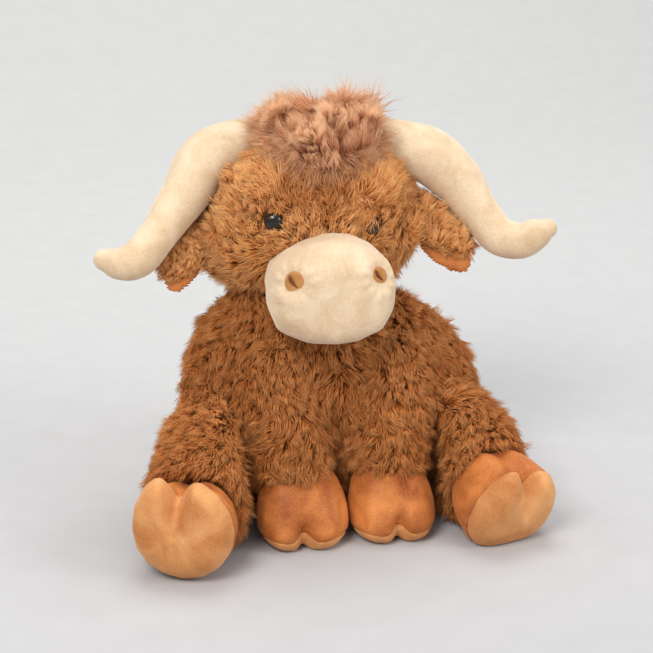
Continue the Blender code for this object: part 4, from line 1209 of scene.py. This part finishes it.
pile("torso_pile", coats["torso"], "torso", FUR, down_out, 185, 0.0118, 0.00056, 11, lift=0.54, **BODY)
for name, finish, length, seed, dark in (
    ("head_pile", BROW, 0.0108, 12, False),
    ("forehead_pile", FUR, 0.0104, 14, True),
):
    pile(
        name, head, "head", finish, face_comb, 215, length, 0.00052, seed,
        keep=lambda roots, facing: clear_of_eyes(roots) & (forehead(roots) == dark), **FACE
    )
for side, sign in SIDES:
    name = f"front_leg_{side}"
    comb = toward(0.05 * sign, -0.25, -1.0)
    pile(f"{name}_pile", coats[name], name, FUR, comb, 195, 0.0106, 0.00055, 13 + sign, lift=0.51, **BODY)
    name = f"hind_leg_{side}"
    comb = toward(sign * 0.55, -0.45, -0.75)
    pile(f"{name}_pile", coats[name], name, FUR, comb, 185, 0.0114, 0.00056, 23 + sign, lift=0.50, **BODY)
    name = f"ear_{side}"
    length, *_, lowest, _ = EAR_SIDES[side]
    pile(
        f"{name}_pile", ears[side], name, EAR_FUR, toward(0.9 * sign, -0.3, -0.55), 230, length, 0.00052,
        33 + sign, lift=0.42, others=[*besides(name), linings[side]],
        keep=lambda roots, facing: facing[:, 2] > lowest
    )
for side, sign in SIDES:
    name = f"ear_{side}"
    horn = [solids[f"horn_{side}"]]
    _, rim_length, nook_length, lash_length, _, lash_lean = EAR_SIDES[side]
    pile(
        f"{name}_rim_pile", ears[side], name, EAR_FUR, toward(0.3 * sign, 0.35, 0.9), 300, rim_length,
        0.00052, 83 + sign, lift=0.6, others=horn, keep=lambda roots, facing: facing[:, 2] > 0.1
    )
    # hair that fills the corner between head, horn and ear
    nook = near(np.array(EAR_SEATS[side]) + np.array([0.0, 0.0, 0.013]), 0.015)
    pile(
        f"nook_{side}", head, "head", BROW, toward(0.9 * sign, -0.25, 0.10), 300, nook_length, 0.00054,
        101 + sign, lift=0.5, others=horn, keep=nook
    )
    # the brow: longer hair that sweeps up and out
    brow = near(np.array(eyes[side]) + np.array([0.004 * sign, 0.0, 0.021]), 0.013)
    pile(
        f"brow_{side}", head, "head", BROW, toward(0.8 * sign, -0.3, 0.9), 110, 0.0165, 0.00048, 111 + sign,
        lift=0.48, clump=0.0040, draw=0.55, stray=0.12, others=horn,
        keep=lambda roots, facing: brow(roots, facing) & clear_of_eyes(roots)
    )
    # hair that hangs over the top of each eye
    for count, (over, wide) in enumerate(LASHES[side]):
        lash = near(np.array(eyes[side]) + np.array([over * sign, 0.0, 0.0078]), wide)
        pile(
            f"lash_{side}_{count}", head, "head", BROW, toward(lash_lean, -0.45, -0.75), 420, lash_length,
            0.00050, 91 + sign + count, lift=0.42, keep=lash
        )
comb = toward(0.0, 0.5, -1.0)
pile("tail_pile", tail, "tail", FUR, comb, 80, 0.0070, 0.0009, 43, lift=0.5, others=besides())
pile("tuft_pile", tuft, "tail", HAIR, comb, 110, 0.0170, 0.0007, 44, lift=0.4)

# The forelock: long curved locks on a pad, tall wisps on its top and hair that fans out over the brow

CROWN = NECK + Vector((0.006, -0.024, 0.100))
# How much the pad is lowered, how much more above a row of pixels, and narrowed
PAD_DROP, PAD_TOP, PAD_TOP_DROP, PAD_WIDTH = 0.0060, 115.0, 0.80, 0.84
# Pixels of the photograph: where the front hair fans out from, the middle and half width of each tall
# wisp, and the row that all wisps stand above
FAN_SEAT = (322.0, 138.0)
WISPS = ((270.0, 4.5), (316.0, 5.0), (342.0, 2.5), (366.0, 4.0))
WISP_FOOT = 124.0

lock_pad = outer_only(smoothed(0.0026, 70, 0.0, "forelock"))
points = coords(lock_pad)
x, y, z = points.T
z -= PAD_DROP
z -= rising(picture(points)[1], (MIDDLE - PAD_TOP) * PIXEL, 1.0) * PAD_TOP_DROP
x[:] = CROWN.x + (x - CROWN.x) * PAD_WIDTH
set_coords(lock_pad, points)
skin("forelock_backing", lock_pad, "head", HAIR_BACKING, LONG_HAIR, "forelock", fill=0.3)
FRONT_CROWN = solids["head"][0].ray_cast(EYE_POINT, line_of_sight(*FAN_SEAT))[0]


def lock_comb(roots):
    """Up, and outward from the crown."""
    way = np.zeros_like(roots)
    way[:, 0] = (roots - np.array(CROWN))[:, 0] * 18.0
    way[:, 1:] = (-0.10, 0.9)
    return way


def wisp_comb(roots):
    """Nearly straight up."""
    way = unit((roots - np.array(CROWN)) * np.array([1.0, 0.4, 0.0])) * 0.30
    way[:, 2] = 1.0
    return way


def fan_comb(roots):
    return unit(roots - np.array(FRONT_CROWN))


def on_wisps(roots, facing):
    """Where the tall wisps stand, by their places in the picture."""
    x, y = in_pixels(roots)
    out = np.zeros(len(roots), dtype=bool)
    for middle, wide in WISPS:
        out |= np.abs(x - middle) < wide
    return out & (y < WISP_FOOT) & (facing[:, 2] > 0.1)


def lock_reach(roots):
    offset = roots - np.array(CROWN)
    return np.clip(1.0 - 0.35 * np.clip(-offset[:, 1] / 0.035, -0.4, 1.0), 0.5, 1.1)


pile(
    "forelock_hair", lock_pad, "head", HAIR, lock_comb, 400, 0.0165, 0.00040, 51, lift=0.30, clump=0.0042,
    draw=0.50, spread=0.20, stray=0.10, uneven=0.90, whirl=0.16, others=HORNS, reach=lock_reach
)
pile(
    "forelock_spikes", lock_pad, "head", HAIR, wisp_comb, 240, 0.0250, 0.00036, 52, lift=0.36, clump=0.0030,
    draw=0.72, spread=0.20, stray=0.07, uneven=0.70, whirl=0.06, others=HORNS, keep=on_wisps
)
pile(
    "forelock_front", head, "head", HAIR, fan_comb, 360, 0.0165, 0.00042, 57, lift=0.40, clump=0.0042,
    draw=0.56, spread=0.22, stray=0.10, uneven=0.80, whirl=0.14, others=[*HORNS, solids["muzzle"]],
    keep=lambda roots, facing: in_forelock(roots)
)

# Stage and light

STAGE_SIDE, STAGE_FRONT, STAGE_BACK, STAGE_TOP = 5.0, -3.0, 2.0, 4.0
BEND_START, BEND_RADIUS, BEND_STEPS = 0.9, 1.1, 12
MIDDLE_HEIGHT = 0.12


def stage_material():
    """Pale paper, painted darker on the floor in front and lighter towards the back: painted shade and
    painted light.
    """
    made, tree, shader = nodes_of("paper")
    grain = noise(tree, Scale=40.0)
    place = add(tree, "SeparateXYZ")
    feed(add(tree, "TexCoord").outputs["Object"], place, "Vector")
    depth = add(tree, "MapRange")
    set_inputs(depth, {"From Min": -0.25, "From Max": 0.9})
    feed(place.outputs["Y"], depth, "Value")
    # painted shade on the near floor, painted light on the paper further back
    close = ramp(tree, grain, (0.3, 0.7), linear((183, 183, 185), (186, 186, 188)))
    away = ramp(tree, grain, (0.3, 0.7), linear((208, 209, 209), (211, 212, 212)))
    surface(shader, mixed(tree, depth.outputs["Result"], close, away), 0.95, 0.0)
    return made


profile = [(STAGE_FRONT, 0.0), (BEND_START, 0.0)]
for k in range(1, BEND_STEPS + 1):
    turn = pi / 2.0 * k / BEND_STEPS
    profile.append((BEND_START + BEND_RADIUS * sin(turn), BEND_RADIUS - BEND_RADIUS * cos(turn)))
profile.append((STAGE_BACK, STAGE_TOP))
points = [(x, y, z) for y, z in profile for x in (-STAGE_SIDE, STAGE_SIDE)]
faces = [(2 * k, 2 * k + 1, 2 * k + 3, 2 * k + 2) for k in range(len(profile) - 1)]
sweep_mesh = new_mesh("sweep", points, faces)
sweep_mesh.shade_smooth()
sweep = placed("sweep", sweep_mesh)
sweep_mesh.materials.append(stage_material())

world = bpy.data.worlds.new("studio")
bpy.context.scene.world = world
world.use_nodes = True
set_inputs(world.node_tree.nodes["Background"], {"Color": (1.0, 0.985, 0.965, 1.0), "Strength": 0.62})


def area_light(name, place, aim_height, size, power, colour=(1.0, 1.0, 1.0)):
    """A round light that is aimed at a height over the origin."""
    data = bpy.data.lights.new(name, "AREA")
    data.shape = "DISK"
    data.size = size
    data.energy = power
    data.color = colour
    made = placed(name, data)
    made.location = place
    made.rotation_mode = "QUATERNION"
    made.rotation_quaternion = (Vector((0.0, 0.0, aim_height)) - Vector(place)).to_track_quat("-Z", "Y")


area_light("key", (-0.9, -1.3, 1.5), 0.14, 0.9, 26.0, (1.0, 0.98, 0.95))
area_light("fill", (1.3, -1.2, 0.9), 0.12, 1.0, 11.0)
area_light("top", (0.1, 0.4, 1.7), 0.1, 1.2, 15.0)

bpy.context.scene.view_settings.view_transform = "Standard"
